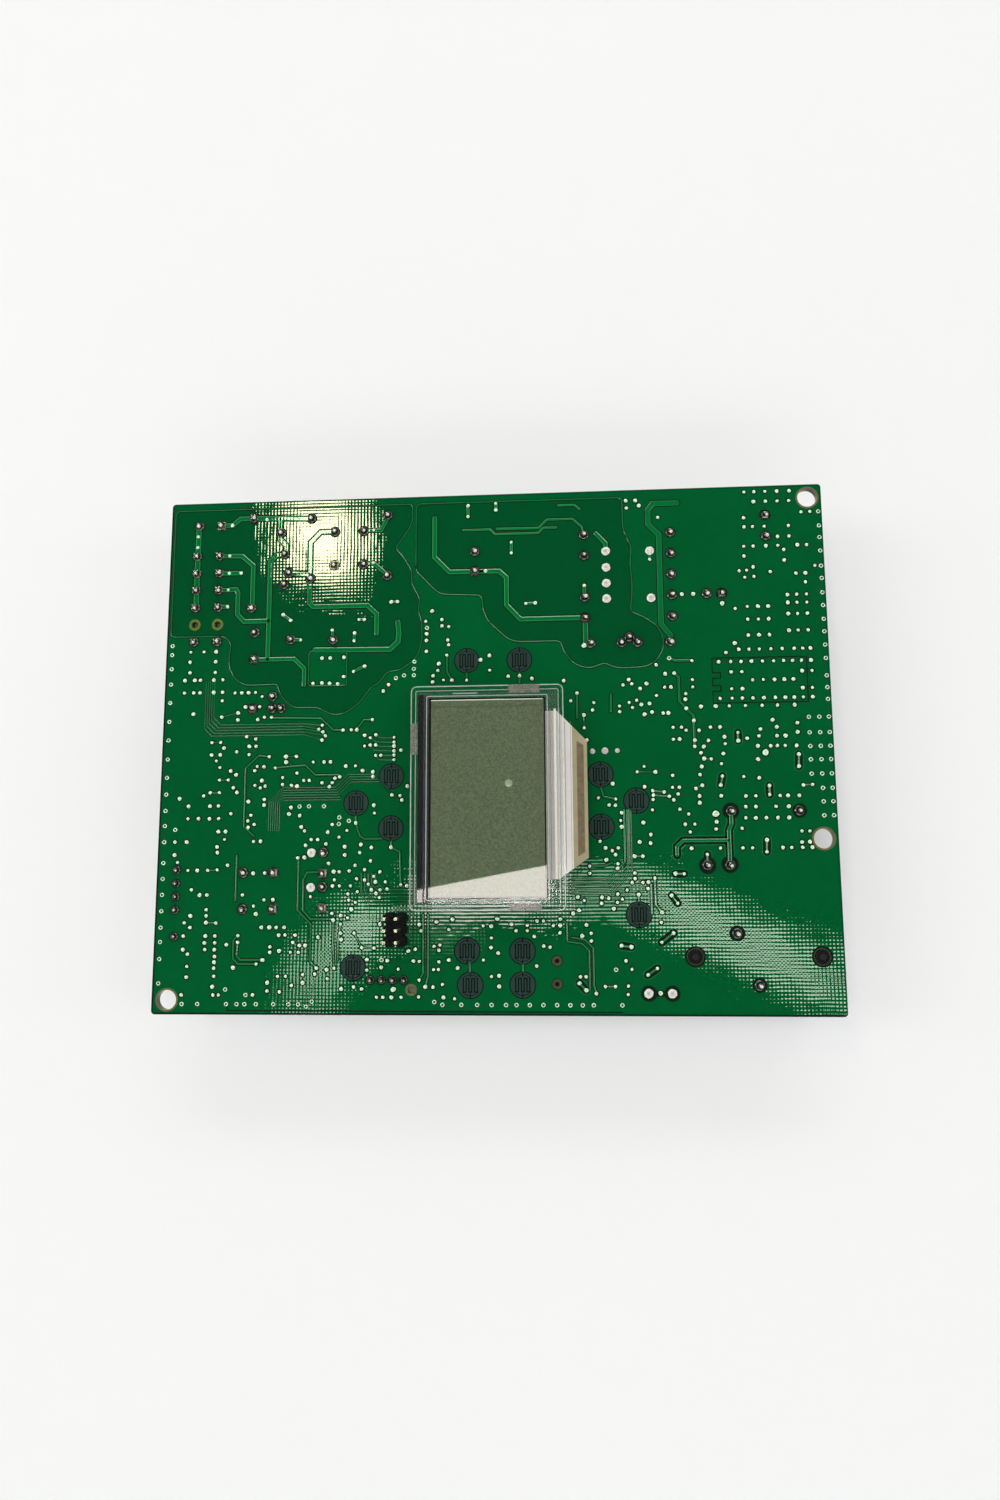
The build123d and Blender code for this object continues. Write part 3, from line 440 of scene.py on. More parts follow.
# painted shade: a dark disc sunk in each of the next two holes stands in for the shade seen through them
SHADED_HOLES = EMPTY_HOLES[3:]     # nothing shows through these two in the photo
PEGS = [(121.6, 12.7), (148.8, 12.7)]
PEG_PROUD = 0.6

MAINS_MOAT = [(13.7, 87), (15.6, 85.4), (15.2, 82), (15.3, 79.5), (17, 76.3), (19.5, 75), (27, 75.2),
    (27.3, 73.8), (28.6, 71.4), (31, 69.5), (36.5, 69.5), (38.2, 68.7), (40.4, 67.6), (43, 68), (46, 70),
    (48.3, 73), (49.2, 74.2), (51, 75), (52.8, 77.7), (55.3, 77.8), (57.5, 79), (60, 81.3), (61, 85),
    (60.8, 90), (60, 92), (60.4, 95), (58.4, 98.8), (58.4, 102), (56.6, 105), (54.4, 107.6), (56.5, 110.2),
    (58.4, 113.5), (58.6, 118.2), (0.9, 118.2), (0.9, 87)]
SUPPLY_MOAT = [(59.4, 101.8), (63.8, 97), (65.5, 95.9), (75, 95.4), (75.1, 92.4), (76.5, 89), (80.8, 84.9),
    (83, 84.1), (93.2, 84.1), (94, 81.3), (96, 78.8), (98, 77.8), (100, 77.6), (101.8, 78.2), (103.2, 78.7),
    (104.8, 77.8), (107, 77.4), (110, 77.5), (112.4, 77.6), (114.5, 78.6), (116.4, 81.4), (116.7, 84),
    (115.5, 87), (112, 89.5), (109.2, 90.6), (109.7, 94), (109.8, 98), (109.4, 102), (109.8, 106),
    (107.9, 110.9), (107.9, 118.2), (59.4, 118.2)]
ISLAND = [(34.3, 74.6), (43.3, 74.6), (43.3, 82.9), (34.3, 82.9)]

MOAT_TRACKS = [
    (1.1, [(12.3, 114.3), (15, 114.3), (16.8, 115.9), (20.2, 115.9), (34.3, 115.4)]),
    (1.1, [(26.6, 115.2), (26.6, 112), (26.6, 110.6), (28.2, 108.9), (28.2, 106.8)]),
    (1.1, [(14.5, 106.7), (17.5, 106.6), (20.3, 104.2), (20.3, 93.8)]),
    (1.1, [(27.9, 106.7), (26, 106.6), (24.4, 105), (24.4, 81.2)]),
    (1.0, [(21.2, 81.2), (30.8, 81.2), (33.2, 78.8), (33.2, 75.0)]),
    (1.1, [(14.4, 98.3), (16.3, 98.4), (16.8, 97.5), (16.8, 92.3), (18.5, 90.5), (24.3, 90.5)]),
    (1.1, [(39.9, 112), (36.5, 112), (34.1, 109.5), (34.1, 94.6), (35, 93.7), (48, 93.7), (50.2, 91.6),
          (50.2, 86.9)]), (1.1, [(29, 102), (34, 101.6)]),
    (1.2, [(35.6, 83.2), (53.4, 83), (55.3, 84.8), (55.5, 87), (55.2, 89.5)]),
    (1.3, [(6.7, 94.2), (6.7, 114.2)]), (1.0, [(12.1, 94.2), (14.4, 94.2)]),
    (1.0, [(12.1, 102.4), (17.4, 102.4)]), (1.0, [(12.1, 106.7), (14.5, 106.7)]),
    (1.0, [(12.1, 98.3), (14.4, 98.3)]),
    (1.1, [(63.8, 114.6), (63.8, 105), (67.3, 101.3), (79, 101.2), (80.7, 99.6), (80.7, 93), (83.9, 89.5),
          (98.9, 89.5)]), (1.2, [(98.9, 89.5), (98.9, 83.5)]),
    (1.0, [(101.6, 109.7), (103.9, 107.2), (103.9, 105.2)]), (0.9, [(49.4, 103.9), (52.5, 101.1)]),
    (0.9, [(49.2, 112), (51, 112), (52.6, 115.2)]),
    (0.5, [(70.5, 111.4), (76.9, 111.4), (78.1, 110.2), (88.3, 110.2), (89.4, 111.4), (92.5, 111.4)]),
    (0.5, [(78.5, 111.5), (88.3, 111.4), (90.3, 113.4), (96.3, 113.4), (98.4, 111.4), (98.9, 109.5)]),
    (0.7, [(39.7, 87.9), (39.9, 85.6)]), (0.7, [(45, 87.1), (44.9, 85.2)]),
    (0.8, [(29.8, 85.9), (32.2, 85.7)]), (0.7, [(27.9, 91.9), (29.7, 90.5)]),
    (0.7, [(47.5, 79.1), (44.9, 77.9)]), (0.6, [(53.6, 94.4), (55.1, 94.4)]),
    (0.6, [(46, 90.3), (47.3, 90.3)]), (0.6, [(85.2, 93.2), (87.4, 93.3)]),
    (0.7, [(81.9, 108.1), (81.9, 105.5)]), (0.7, [(71.7, 117.4), (71.7, 114.7)]),
    (0.8, [(78.3, 117.7), (78.3, 116.2)]), (0.5, [(93, 116.8), (96.8, 116.8), (98, 115.7)]),
    (1.0, [(73.3, 101.3), (75.8, 101.3)]), (0.8, [(114, 105.1), (114, 103)]),
    (0.8, [(98.8, 97.2), (98.8, 94.7)]), (0.8, [(47, 112), (49.2, 112)]), (0.8, [(47, 103.7), (49.2, 104)]),
]

POUR_TRACKS = [
    (1.2, [(120.6, 116.5), (115, 116.5), (113.8, 115), (113.8, 111.5), (116.2, 109), (116.2, 87.5),
          (118.3, 84.8)]), (0.3, [(26, 67.2), (37.5, 66.9), (40.5, 64.1), (42.7, 64.1)]),
    (0.3, [(45.9, 64.3), (47.5, 66.4), (49.5, 66.4)]),
    (0.3, [(25.5, 58.1), (23, 58.4), (20, 55.5), (20, 42), (22.4, 39.8)]),
    (0.3, [(27, 55.5), (34, 56), (36.5, 53.7), (42, 53.7)]), (0.35, [(18.6, 35.4), (18.6, 25.2)]),
    (0.35, [(33, 34.8), (33, 23), (36.1, 19.9), (36.1, 11.7), (37.6, 10.2)]),
    (0.35, [(38.5, 31.5), (35, 31.5), (34.2, 30), (34.2, 23), (36, 21), (41, 21)]),
    (0.3, [(19.4, 17.4), (18.4, 16.4), (18.4, 12.3), (19.6, 11.1), (23.8, 11.1)]),
    (0.3, [(19.4, 15.9), (19.2, 13), (20.1, 12), (25.2, 12)]),
    (0.3, [(41.2, 20.8), (41.2, 16), (41.6, 10.2)]), (0.3, [(42.9, 19.9), (42.4, 16), (42.4, 12)]),
    (0.3, [(60.8, 7.6), (61.6, 9), (61.6, 22)]), (0.3, [(62.2, 6.2), (62.7, 8), (62.7, 22)]),
    (0.3, [(98.9, 32.5), (102, 32.5), (104, 33.2)]),
    (0.3, [(92.2, 20.9), (93.7, 20), (93.7, 16), (97, 15.5), (98.5, 14), (98.5, 5.6), (97.7, 5.0)]),
    (0.3, [(99.9, 4.8), (99.4, 6.5), (99.4, 14.6), (97.6, 16.4), (94.8, 16.9)]),
    (0.35, [(113.25, 29.75), (113.3, 24), (114.6, 22.3)]), (0.35, [(112.4, 28.4), (112.4, 22)]),
    (0.5, [(118.8, 76), (119.8, 75), (119.8, 69.5), (122.9, 66), (122.9, 59)]),
    (0.5, [(117.8, 79.5), (119, 78.9), (122.9, 78.9)]), (0.4, [(104.4, 71.4), (104.3, 67.4)]),
    (0.4, [(96.7, 71.8), (96.7, 66)]), (0.35, [(71.4, 77.2), (71.4, 75.2)]),
    (0.35, [(83.6, 77.2), (83.6, 74.4)]), (0.35, [(46, 44.2), (46, 42.6), (47, 39.6), (48, 39), (52, 39)]),
    (0.35, [(54.2, 38.5), (54.2, 37), (56.2, 36), (56.5, 28.6)]),
    (0.35, [(101.7, 50.2), (102.3, 48), (105, 47.4)]), (0.35, [(83.8, 11.2), (83.8, 9.4)]),
    (0.35, [(72, 11.3), (72.1, 9.4)]), (0.35, [(109.6, 26.2), (109.6, 24.6)]),
    (0.35, [(107.8, 45), (107.8, 33), (106.4, 31.6)]), (0.35, [(106.8, 45), (106.8, 33.4), (105.4, 32)]),
    (0.35, [(66.8, 81.3), (66.8, 77.4), (68, 75.3)]), (0.5, [(71.4, 55.9), (71.4, 55.5)]),
]

EDGE_GROOVE = [(17.25, 2.3), (17.6, 0.9), (105.5, 0.8)]

# thin tracks run side by side in buses
THIN = 0.28
FINEST = 0.24
LEFT_BUS_ENDS = [(37.8, 65.3), (37.0, 64.4), (38.0, 63.75), (38.6, 62.8), (37.8, 61.8)]
for n, end in enumerate(LEFT_BUS_ENDS):
    bus_x, bus_y = 12.0 - 0.52 * n, 65.8 - 0.65 * n
    path = [(bus_x, 76.2), (bus_x, bus_y + 1.6), (bus_x + 1.6, bus_y), (33.4, bus_y), end]
    POUR_TRACKS.append((THIN, path))
for n in range(6):
    bus_x, bus_y = 25.7 + 0.5 * n, 50.9 - 0.58 * n
    turn = bus_y - (28.9 - bus_x)
    path = [(bus_x, 40.9), (bus_x, turn), (28.9, bus_y), (41.2 + 0.25 * n, bus_y)]
    if n < 4:
        path += [(44.1 + 0.25 * n, bus_y + 2.9), (49.8 + 0.5 * n, bus_y + 2.9), (54.3 + 0.5 * n, bus_y - 1.6)]
    POUR_TRACKS.append((FINEST, path))
for n in range(5):
    bus_x, bus_y = 47.4 + 0.8 * n, 24.3 + 0.8 * n
    POUR_TRACKS.append((THIN, [(bus_x, 31.2), (bus_x, bus_y + 2.2), (bus_x + 2.2, bus_y), (59.6, bus_y)]))
RIGHT_BUS_ENDS = [(108.3, 45.0), (107.4, 45.0), (106.2, 33.6), (105.2, 33.0), (105.1, 32.0)]
for n, end in enumerate(RIGHT_BUS_ENDS):
    bus_x, bus_y = 103.4 - 0.2 * n, 26.4 + 0.8 * n
    rise = end[0] - bus_x if n < 3 else 1.2
    POUR_TRACKS.append((FINEST, [(94.7, bus_y), (bus_x, bus_y), (bus_x + rise, bus_y + rise), end]))
FAN = [
    [(54.65, 62.2), (51.2, 62.2), (50.4, 62.9)], [(54.65, 61.1), (50.4, 61.3), (49.1, 62.2)],
    [(54.65, 60.2), (51.4, 60.2), (50.4, 60.5)], [(54.65, 59.1), (50.0, 59.3), (49.1, 60.5)],
    [(54.65, 58.1), (51.6, 58.1)], [(54.65, 57.0), (51.2, 57.1), (50.4, 58.1)],
]
POUR_TRACKS += [(THIN, path) for path in FAN]

GAPPED_TRACKS = [
    (0.9, [(118.3, 34.8), (118.3, 36.7), (119.7, 38), (129.6, 38)]),
    (1.0, [(130.4, 44.5), (130.4, 41.6), (129.8, 40.2), (129.8, 32.7)]),
    (0.8, [(132.6, 62.1), (132.6, 60.25)]), (0.8, [(145.8, 57), (145.7, 54.3)]),
    (0.8, [(128.8, 52.3), (128.4, 50.3)]), (0.8, [(139.05, 50.05), (139.05, 48.05)]),
    (0.8, [(138, 38), (137.9, 35.4)]), (0.8, [(124.9, 34.9), (124.9, 32.5)]),
    (0.8, [(117.8, 30.7), (119.7, 30.7)]), (0.8, [(116.8, 26), (118.1, 24.25)]),
    (0.8, [(114.4, 15.8), (117, 17.8)]), (0.8, [(105.6, 15.1), (107.75, 14.8)]),
    (0.8, [(111.2, 8.8), (113.3, 10.2)]), (0.8, [(96.25, 7), (97.7, 5.5)]),
]


# points in rows and columns
def row(y, *xs):
    return [(x, y) for x in xs]


def column(x, *ys):
    return [(x, y) for y in ys]


def grid(xs, ys):
    return [(x, y) for y in ys for x in xs]


EDGE_VIAS = column(LENGTH - 0.8, 113.4, 110, 107.2, 104, 100.4, 97.5, 94.1, 91.1, 87.9, 85, 81.9, 78.8,
    74.8, 72.1, 69.4)
EDGE_VIAS += grid((148.4,), (65.4, 61.9, 58.8, 55.8, 52.6))
EDGE_VIAS += grid((150.7, 152.8), (65.4, 61.9, 58.8, 55.8, 52.6, 49.4, 46.4, 43.3))
EDGE_VIAS += column(1.4, 84.9, 82.7, 79.3, 75.6, 71.2, 66.7, 62.3, 57.8, 53.5, 49.6, 45.8, 42.3, 38.6, 33.8,
    30.2, 26.6, 22.9, 19.2, 16, 12.2, 6.8)
EDGE_VIAS += row(2.3, 7, 10.6, 17.2, 19.6, 21.4, 24, 28, 31.4, 33.6, 66, 70.2, 73.7, 76.9, 80.1, 82.4, 85.3,
    88.3, 91.3, 94.2, 96.9, 99.3, 105.5)
EDGE_VIAS += [(35.4, 1.8), (36.7, 2.9), (64.2, 2.9), (59.2, 79.9), (59.1, 78.2), (59.1, 76.7), (56.8, 76.7),
    (54.9, 76.1), (62.1, 87.9), (117.8, 79.5), (104.3, 9.9), (52.3, 12), (42.2, 43.9), (42.1, 42.4),
    (44.4, 43.1), (16.9, 5.5), (21.6, 4.3), (32.9, 46.5), (35.1, 46.5), (38.6, 46.5), (3.9, 41.4)]

UPPER_RIGHT_DOTS = (row(118.6, 136.1, 138.4, 140.9, 143.6, 146.4) + row(116.2, 138.2, 140.9, 143.6, 146.2)
    + row(110.2, 135.8, 137.75, 140.4, 145.9) + row(107.65, 143.3, 145.9)
    + row(105.5, 135.6, 137.7, 140.6, 143.3, 147.7, 149.8) + [(135.8, 112.4), (144.6, 104.5), (144.6, 102),
    (135.5, 103.2), (134.3, 99.7), (136, 99.8), (137.5, 100.5), (141.3, 99.3), (135.5, 98.1), (137.6, 98.3),
    (147.1, 98.8), (149.2, 98.8), (149.1, 96.7), (148.9, 113.4), (150.9, 113.4), (133.1, 90.8), (132.7, 82.7),
    (130.6, 80.5), (151.4, 100.5)] + grid((144.95, 147, 149.2), (93.8, 91.9, 89.3, 85.4))
    + grid((135.8, 138.2, 140.5), (91.2, 88.2, 84.5))
    + row(81.2, 133.5, 135.8, 138.1, 140.7, 143.2, 145.9, 147.75, 149.5)
    + row(78.4, 128.9, 131.6, 133.9, 136.25, 138.7, 141.2, 143.4, 145.4, 147.4, 149.5)
    + row(69.95, 128.9, 131.6, 133.9, 136.25, 138.7, 141.2, 143.4, 145.4, 147.4, 149.5)
    + row(76, 131.6, 134, 147.4, 149.6) + row(74.1, 136.3, 138.7, 141.2, 143.4, 145.4)
    + row(72.1, 131.6, 134, 147.4, 149.5) + row(68.2, 124.6, 127.9, 130.9, 134.5, 138.2, 141.6, 145.4))
RIGHT_DOTS = (row(47.8, 133.8, 136, 141.3, 143, 145.5) + row(45.4, 133.7, 135.9, 140.3, 143.1)
    + row(42.9, 133.6, 135.8, 138.1, 140.6, 143.1) + row(61.25, 137.2, 141.2, 143.1)
    + row(59, 136.9, 139.7, 141.2, 142.9, 145.4)
    + row(36.3, 121.5, 127.8, 132.7, 134.8, 141.4, 143.3, 145.7, 147.8) + row(37.5, 145.6, 147.3)
    + row(39.9, 121.3, 145.7, 147.4) + [(140.4, 64.9), (141.2, 63.2), (137.6, 62.8), (134.6, 60.75),
    (136.8, 56), (145.8, 64.1), (145.8, 62.05), (133.5, 52.1), (136.9, 51.8), (132.7, 40.6), (127, 40.5),
    (127.2, 42.1), (122.9, 78.8), (116.8, 75.9), (118.8, 76), (122.9, 74.4), (122.9, 72.7), (116.6, 72.8),
    (118, 72.8), (121.3, 71.2), (121.2, 69.9), (121.3, 67.8), (117.25, 66.8), (116.1, 66.8), (122.9, 65),
    (118.2, 63.5), (120.1, 63.5), (121.1, 62.8), (118.2, 60.8), (119.6, 60.8), (124, 62.7), (126.55, 63.4),
    (128.7, 63.4), (123, 60.5), (122.9, 59.1), (126, 60.4), (124.9, 59), (124.25, 57.6), (129.6, 61.2),
    (129.7, 59.6), (129.2, 57.4), (128.7, 55.1), (124.3, 54.5), (123.9, 52.7), (117.8, 52.6), (117.7, 49.9),
    (119.2, 49.9), (118.9, 48.4), (117.9, 47.1), (119.2, 45), (121.1, 43.9), (120.25, 41.6), (122.4, 41.6),
    (123.6, 47.9), (123.6, 46.4), (128.4, 47.9)])
MIDDLE_DOTS = [(93.7, 74.7), (96.7, 71.8), (95.25, 70), (100.5, 69.5), (100.2, 67.8), (98.8, 60.9),
    (106.3, 68.6), (106.3, 67.3), (108.5, 74.7), (107.2, 73.5), (109.2, 73.7), (111.1, 72.6), (112.5, 73.7),
    (108.5, 69.4), (109.2, 68.2), (110.2, 69.9), (111.25, 68.9), (113.1, 69.1), (111.9, 66.6), (113.6, 67.1),
    (114.7, 70.9), (114.8, 78), (104.4, 50.9), (101.1, 47.7), (105, 47.4), (103.5, 46.1), (104.9, 46),
    (106.25, 44.3), (106, 42.6), (106.2, 41.2), (111.5, 54.7), (111.5, 50.1), (113.3, 47.2), (113.1, 44.9),
    (111, 42.1), (112.6, 39.4), (112.5, 37.5), (110.1, 37.8), (101.3, 38), (102.5, 36.5), (105.3, 36.5),
    (104, 35.9), (104.7, 35), (102.6, 33.9), (105.2, 33), (105.1, 32), (98.9, 32.5), (98.9, 30.9),
    (108.9, 30.9), (108.9, 29.7), (108.25, 28.8), (110.6, 28.8), (111.8, 28.9), (111.7, 27.5),
    (113.25, 29.75), (107.1, 27.2), (105, 26.3), (106, 25.2), (104.9, 24.5), (104.1, 23.1), (101.5, 25.6),
    (103, 25.4), (101.4, 24.3), (96.2, 25.7), (97.6, 24.9), (109.6, 26.2), (114.6, 22.3), (114.4, 20.1),
    (95.1, 22.1), (96.4, 22.8), (98, 19.6), (97, 17.2), (99, 17.8), (99, 16.1), (96.5, 8.4), (97.7, 8.4),
    (99.9, 4.8), (106.9, 6.4), (106.8, 4.6), (106.5, 11.8), (107.75, 10), (116.1, 113.1), (108.8, 117.4),
    (108.9, 115.6), (111, 117.4), (111.8, 116.1), (78.2, 21), (81.4, 19.8), (84.9, 19.6), (82.4, 18.4),
    (84.9, 18.4), (86.4, 17.1), (87.1, 20.5), (88.5, 20.5), (90.7, 19.5), (92.2, 20.9), (92.2, 19.5),
    (92.1, 17.9), (88.5, 15), (89.9, 14.8), (86.9, 10.7), (78.4, 13.5), (78.6, 8.6), (78.6, 6.3),
    (75.1, 19.5), (76.9, 19.4), (76.9, 16.8), (76.8, 14.7), (75.1, 12), (76.9, 8.4), (69.4, 10.3),
    (68.2, 20.9), (67.4, 18.7), (64.6, 20.4), (64.1, 15), (65.4, 15.25), (65.2, 14.1), (65.2, 11.6),
    (64, 9.9), (65.1, 9.9), (67.4, 12), (66, 6.7), (60.8, 7.6), (62.2, 6.2), (63.9, 6.1), (60.7, 19.8),
    (61.1, 18.4), (51.9, 19.9), (58.3, 14.0), (59.9, 14.4), (53.6, 11.9), (52.25, 10.4), (59.5, 11.75),
    (60.8, 11.7), (56.1, 10), (51.3, 3.9), (52.7, 3.9), (54.6, 3.9), (56.75, 3.9), (60.7, 4), (66.25, 3.9),
    (68.7, 3.6), (61.8, 89.5), (62, 86.5), (62, 84.9), (62, 82.3), (63.3, 91.9), (65.6, 89.8), (65.6, 88.3),
    (67.2, 88.1), (67, 84.9), (67.2, 83.75), (66.8, 81.3), (68, 75.3), (53.2, 74.6), (52, 73.1), (64.9, 79.3),
    (64.7, 77.7), (63.6, 76.5), (63.5, 75), (66, 75.4), (74.6, 80), (71.4, 75.25), (76.7, 81), (76.7, 77.5),
    (81, 76), (83.6, 76.1), (86.4, 75.4)]
LEFT_DOTS = (row(109, 6.6) + row(102.4, 14.5, 17.4) + row(83.3, 5.9, 9.1, 12) + row(80.9, 5.8, 12)
    + row(78.3, 5.9, 12) + row(76.5, 4.75, 7.1, 8.5, 11.7, 13.9) + row(73.5, 4.75, 7, 8.5, 11.8, 13.9)
    + row(73.3, 16.9, 18.5, 20.1, 21.8) + row(67.4, 24.1, 25.75) + row(58.7, 11.8, 13.9, 20.7)
    + row(60.6, 20.7, 22.3) + row(43.9, 6.8, 9.3, 11.9, 14) + row(46.8, 6.8, 11.9, 13.9) + row(35.6, 3.95)
    + row(38.6, 3.95, 6.7, 22.4, 24) + row(40.9, 14.05, 15.75, 34.2) + row(26.5, 10.2, 11.9, 20.2)
    + row(31.4, 22.5, 25.2) + row(25.4, 25.2, 27.25) + row(32.1, 7.25, 9.4) + row(17.3, 11.9, 14.1)
    + row(15.8, 11.7, 14.1) + row(14.3, 11.9, 14.1) + row(4.3, 6.8, 14.1, 15.4, 23.2)
    + row(19.2, 8.25, 24.75, 26.6, 28.2, 30) + row(17.5, 28.8, 30.25, 32.6) + row(15.2, 33.6, 34.9)
    + row(13.7, 26.9, 31.6, 33.4) + row(8.4, 28.8, 30.6) + row(71.5, 13.9) + row(66.9, 17.8, 22.5)
    + [(6.6, 111.7), (14.5, 106.7), (14.4, 98.3), (14.4, 94.2), (23.3, 115.5), (31.1, 115.5), (34.2, 103.4),
    (37.5, 111.8), (49.2, 112.1), (49.2, 104.1), (23.4, 72.3), (19.5, 69.9), (22.9, 69.9), (7.1, 68.4),
    (20, 62.9), (22.2, 62.3), (14.7, 60.3), (13, 57.3), (17.75, 59.4), (13.9, 55.75), (16.5, 54.9),
    (17.8, 54), (17.25, 51), (18.1, 49.9), (10.3, 49.2), (4.6, 48.6), (16.9, 45), (25.5, 58.1), (22.7, 55.9),
    (22.2, 54.9), (24.3, 55.8), (27, 55.5), (29.5, 56.8), (35.9, 56.7), (38.4, 56.7), (39.9, 56.7),
    (23.9, 52.6), (22.3, 51.5), (23.6, 50.9), (24.7, 51.3), (28.8, 53.2), (28.8, 51.6), (32.1, 54.2),
    (33.7, 52.5), (35, 52.5), (38, 51.9), (20.9, 47.8), (24.6, 48.2), (24.6, 46.9), (30.9, 46.3),
    (30.5, 44.8), (33, 44.4), (21.6, 44.6), (20.9, 43.3), (22.4, 42.5), (21, 41.8), (33.4, 41.8),
    (13.9, 37.4), (14, 36.1), (15.6, 39.1), (4.75, 33.9), (16.5, 33.2), (8.25, 27.7), (22.8, 24),
    (23.4, 22.2), (11.9, 23.2), (11.9, 21.8), (8.25, 21.8), (6.9, 20.3), (6.8, 17.3), (14.2, 12.75),
    (14.1, 11.5), (14.1, 10.2), (14.2, 8.4), (13.9, 6.1), (6.8, 14.3), (7.9, 13.3), (7.9, 10.6), (7.8, 8.2),
    (19.4, 17.4), (19.4, 15.9), (16.8, 15.4), (23.8, 11.1), (25.25, 12), (26.9, 14.9), (18.5, 10.3),
    (32.1, 15.9), (29, 14), (26.5, 7), (26.5, 5.2), (29.3, 5), (32, 6.4), (34.5, 7), (34.5, 8.8),
    (37.6, 10.2), (37.25, 8.9), (37.8, 17), (32.75, 34.8), (34.3, 34.9), (34.5, 37.6), (35.8, 38.9),
    (37.3, 38.9), (35.9, 26.0), (14.9, 114.3)])
CENTRE_DOTS = ([(49.5, 66.4), (42.7, 64.1), (44.6, 64.1), (45.9, 64.1), (47.8, 62.8), (49.1, 62.2),
    (50.4, 62.9), (47.8, 60.3), (49.1, 60.5), (50.4, 60.5), (50.4, 58.1), (51.6, 58.1), (56.25, 59.2),
    (43.5, 55.7), (45.8, 55.7), (47.4, 54.6), (49.8, 54.3), (49.8, 53.2), (57.8, 50.9), (54.3, 48.9),
    (56.1, 48.75), (56.6, 47.7), (50.1, 46.6), (50.3, 44.8), (46, 42.6), (40.6, 42.3), (44, 40.9),
    (39.6, 40.6), (41, 52.9), (42.1, 53.2), (40.4, 51.9), (39.75, 51), (42.2, 39.4), (39.2, 37.9),
    (39.9, 33.5), (43.5, 37.25), (43.6, 35.4), (47.25, 37.7), (47, 35.9), (49.7, 37), (49.5, 34), (54.2, 37),
    (41.1, 31.6), (42.4, 31.6), (44.7, 31.75), (46, 33), (48.2, 32), (51.7, 31.5), (50.3, 30.5), (46.4, 30),
    (41.3, 29.8), (48.2, 29.7), (40.9, 28.4), (42.5, 28.4), (45, 28.4), (49.1, 28.8), (50.7, 29.25),
    (53, 29.25), (49.8, 27.5), (51.8, 27.5), (53.4, 27.7), (50.9, 26.7), (51.7, 25.8), (46.6, 27.1),
    (44.5, 26.6), (44.7, 25.2), (46.2, 24.75), (45.3, 23.2), (56.5, 28.6), (57.9, 28.4), (40.9, 22.25),
    (42.9, 21.8), (44.5, 21.3), (41.2, 20.8), (42.9, 19.9), (42.9, 17.9), (43.1, 16.5), (49, 12.1), (49, 9.8),
    (46.1, 6.1), (47.9, 5.7), (43.3, 5.7), (40.1, 7.9), (39.9, 9.9), (41.6, 10.2), (37.8, 65.3), (37, 64.4),
    (38, 63.75), (38.6, 62.8), (37.8, 61.8), (37.4, 81.2), (39.3, 81.2), (42.6, 81.3), (42.6, 76.7),
    (35.4, 75.25), (37.5, 75.25), (39.3, 75.2), (41.2, 75)] + column(54.65, 62.2, 61.1, 60.2, 59.1, 58.1, 57))
VIA_DOTS = UPPER_RIGHT_DOTS + RIGHT_DOTS + MIDDLE_DOTS + LEFT_DOTS + CENTRE_DOTS
DOT_BARS = [
    ((98.2, 66.7), (98.2, 63.7)), ((109.9, 53.5), (114, 53.4)), ((113.3, 49.2), (115.8, 48.9)),
    ((113.4, 48.2), (116.9, 47.9)), ((108.9, 34.6), (110.7, 34.6)), ((101.9, 6.3), (104.1, 6.3)),
    ((146.5, 50.1), (148.5, 50.2)), ((124.9, 56.3), (126.5, 56.2)), ((122.9, 49.6), (124.3, 50.3)),
    ((29.4, 58.1), (31.9, 58.1)), ((11.8, 61.6), (13.9, 61.6)), ((11.8, 49.9), (14, 49.9)),
    ((13.9, 52.8), (16, 52.8)), ((13.9, 67.6), (17.8, 68.5)), ((11.9, 20.3), (14.2, 20.2)),
    ((11.9, 32.1), (14.1, 32.2)), ((30.9, 51.4), (32.2, 51.2)), ((46.0, 17.9), (47.8, 14.7)),
    ((47.8, 14.7), (50.6, 14.6)),
]
BEADS = [(121.1, 94.5, 0.5), (123.7, 94.5, 0.5), (130.2, 92.1, 0.55), (127.1, 43.9, 0.75),
    (138.5, 57.5, 0.75), (55, 5.6, 0.6), (98.5, 82.9, 0.6), (113.85, 4.9, 0.5)]
TEST_LANDS = [(100, 58.3, 0.62), (102.8, 58.4, 0.78), (105.6, 58.4, 0.55)]
HALOS = [(124.9, 32.5, 1.8), (129.8, 32.7, 1.8), (130.4, 44.5, 1.75), (145.4, 44.4, 1.5), (130.8, 17.7, 1.62),
    (135.2, 6.6, 1.5)]
HALO_LANDS = [(111.3, 4.8), (116.4, 4.8)]
FLAT_PADS = [(103.9, 105.3), (103.9, 101.4), (103.9, 97.6), (103.9, 93.9), (114, 105.1), (114.1, 93.8),
    (35.9, 35.9), (35.9, 28.1)]
SQUARE_PADS = [(12.3, 114.25), (40, 103.7), (21.2, 81.3), (73.3, 101.3), (98.85, 89.4), (130.1, 94.5),
    (140.65, 112.9), (21.2, 69.45), (27.2, 31.5), (27.2, 23.3), (38.6, 31.2), (38.6, 23.5)]
CHIP_OUTLINE = [(127.4, 79.3), (148.5, 79.3), (148.5, 68.9), (127.4, 68.9), (127.4, 71.6), (129.2, 71.6),
                (129.2, 72.9), (127.4, 72.9), (127.4, 74.6), (129.2, 74.6), (129.2, 75.9), (127.4, 75.9),
                (127.4, 79.3)]
KEY_PADS = [(71.4, 79.9), (83.6, 79.8), (54.1, 53.2), (46, 47.1), (54.1, 41.3), (101.7, 53), (109.6, 47),
    (101.7, 41.2), (45.9, 10.3), (71.5, 14), (72.2, 6.5), (83.8, 13.9), (83.8, 6.6), (109.6, 21.8)]


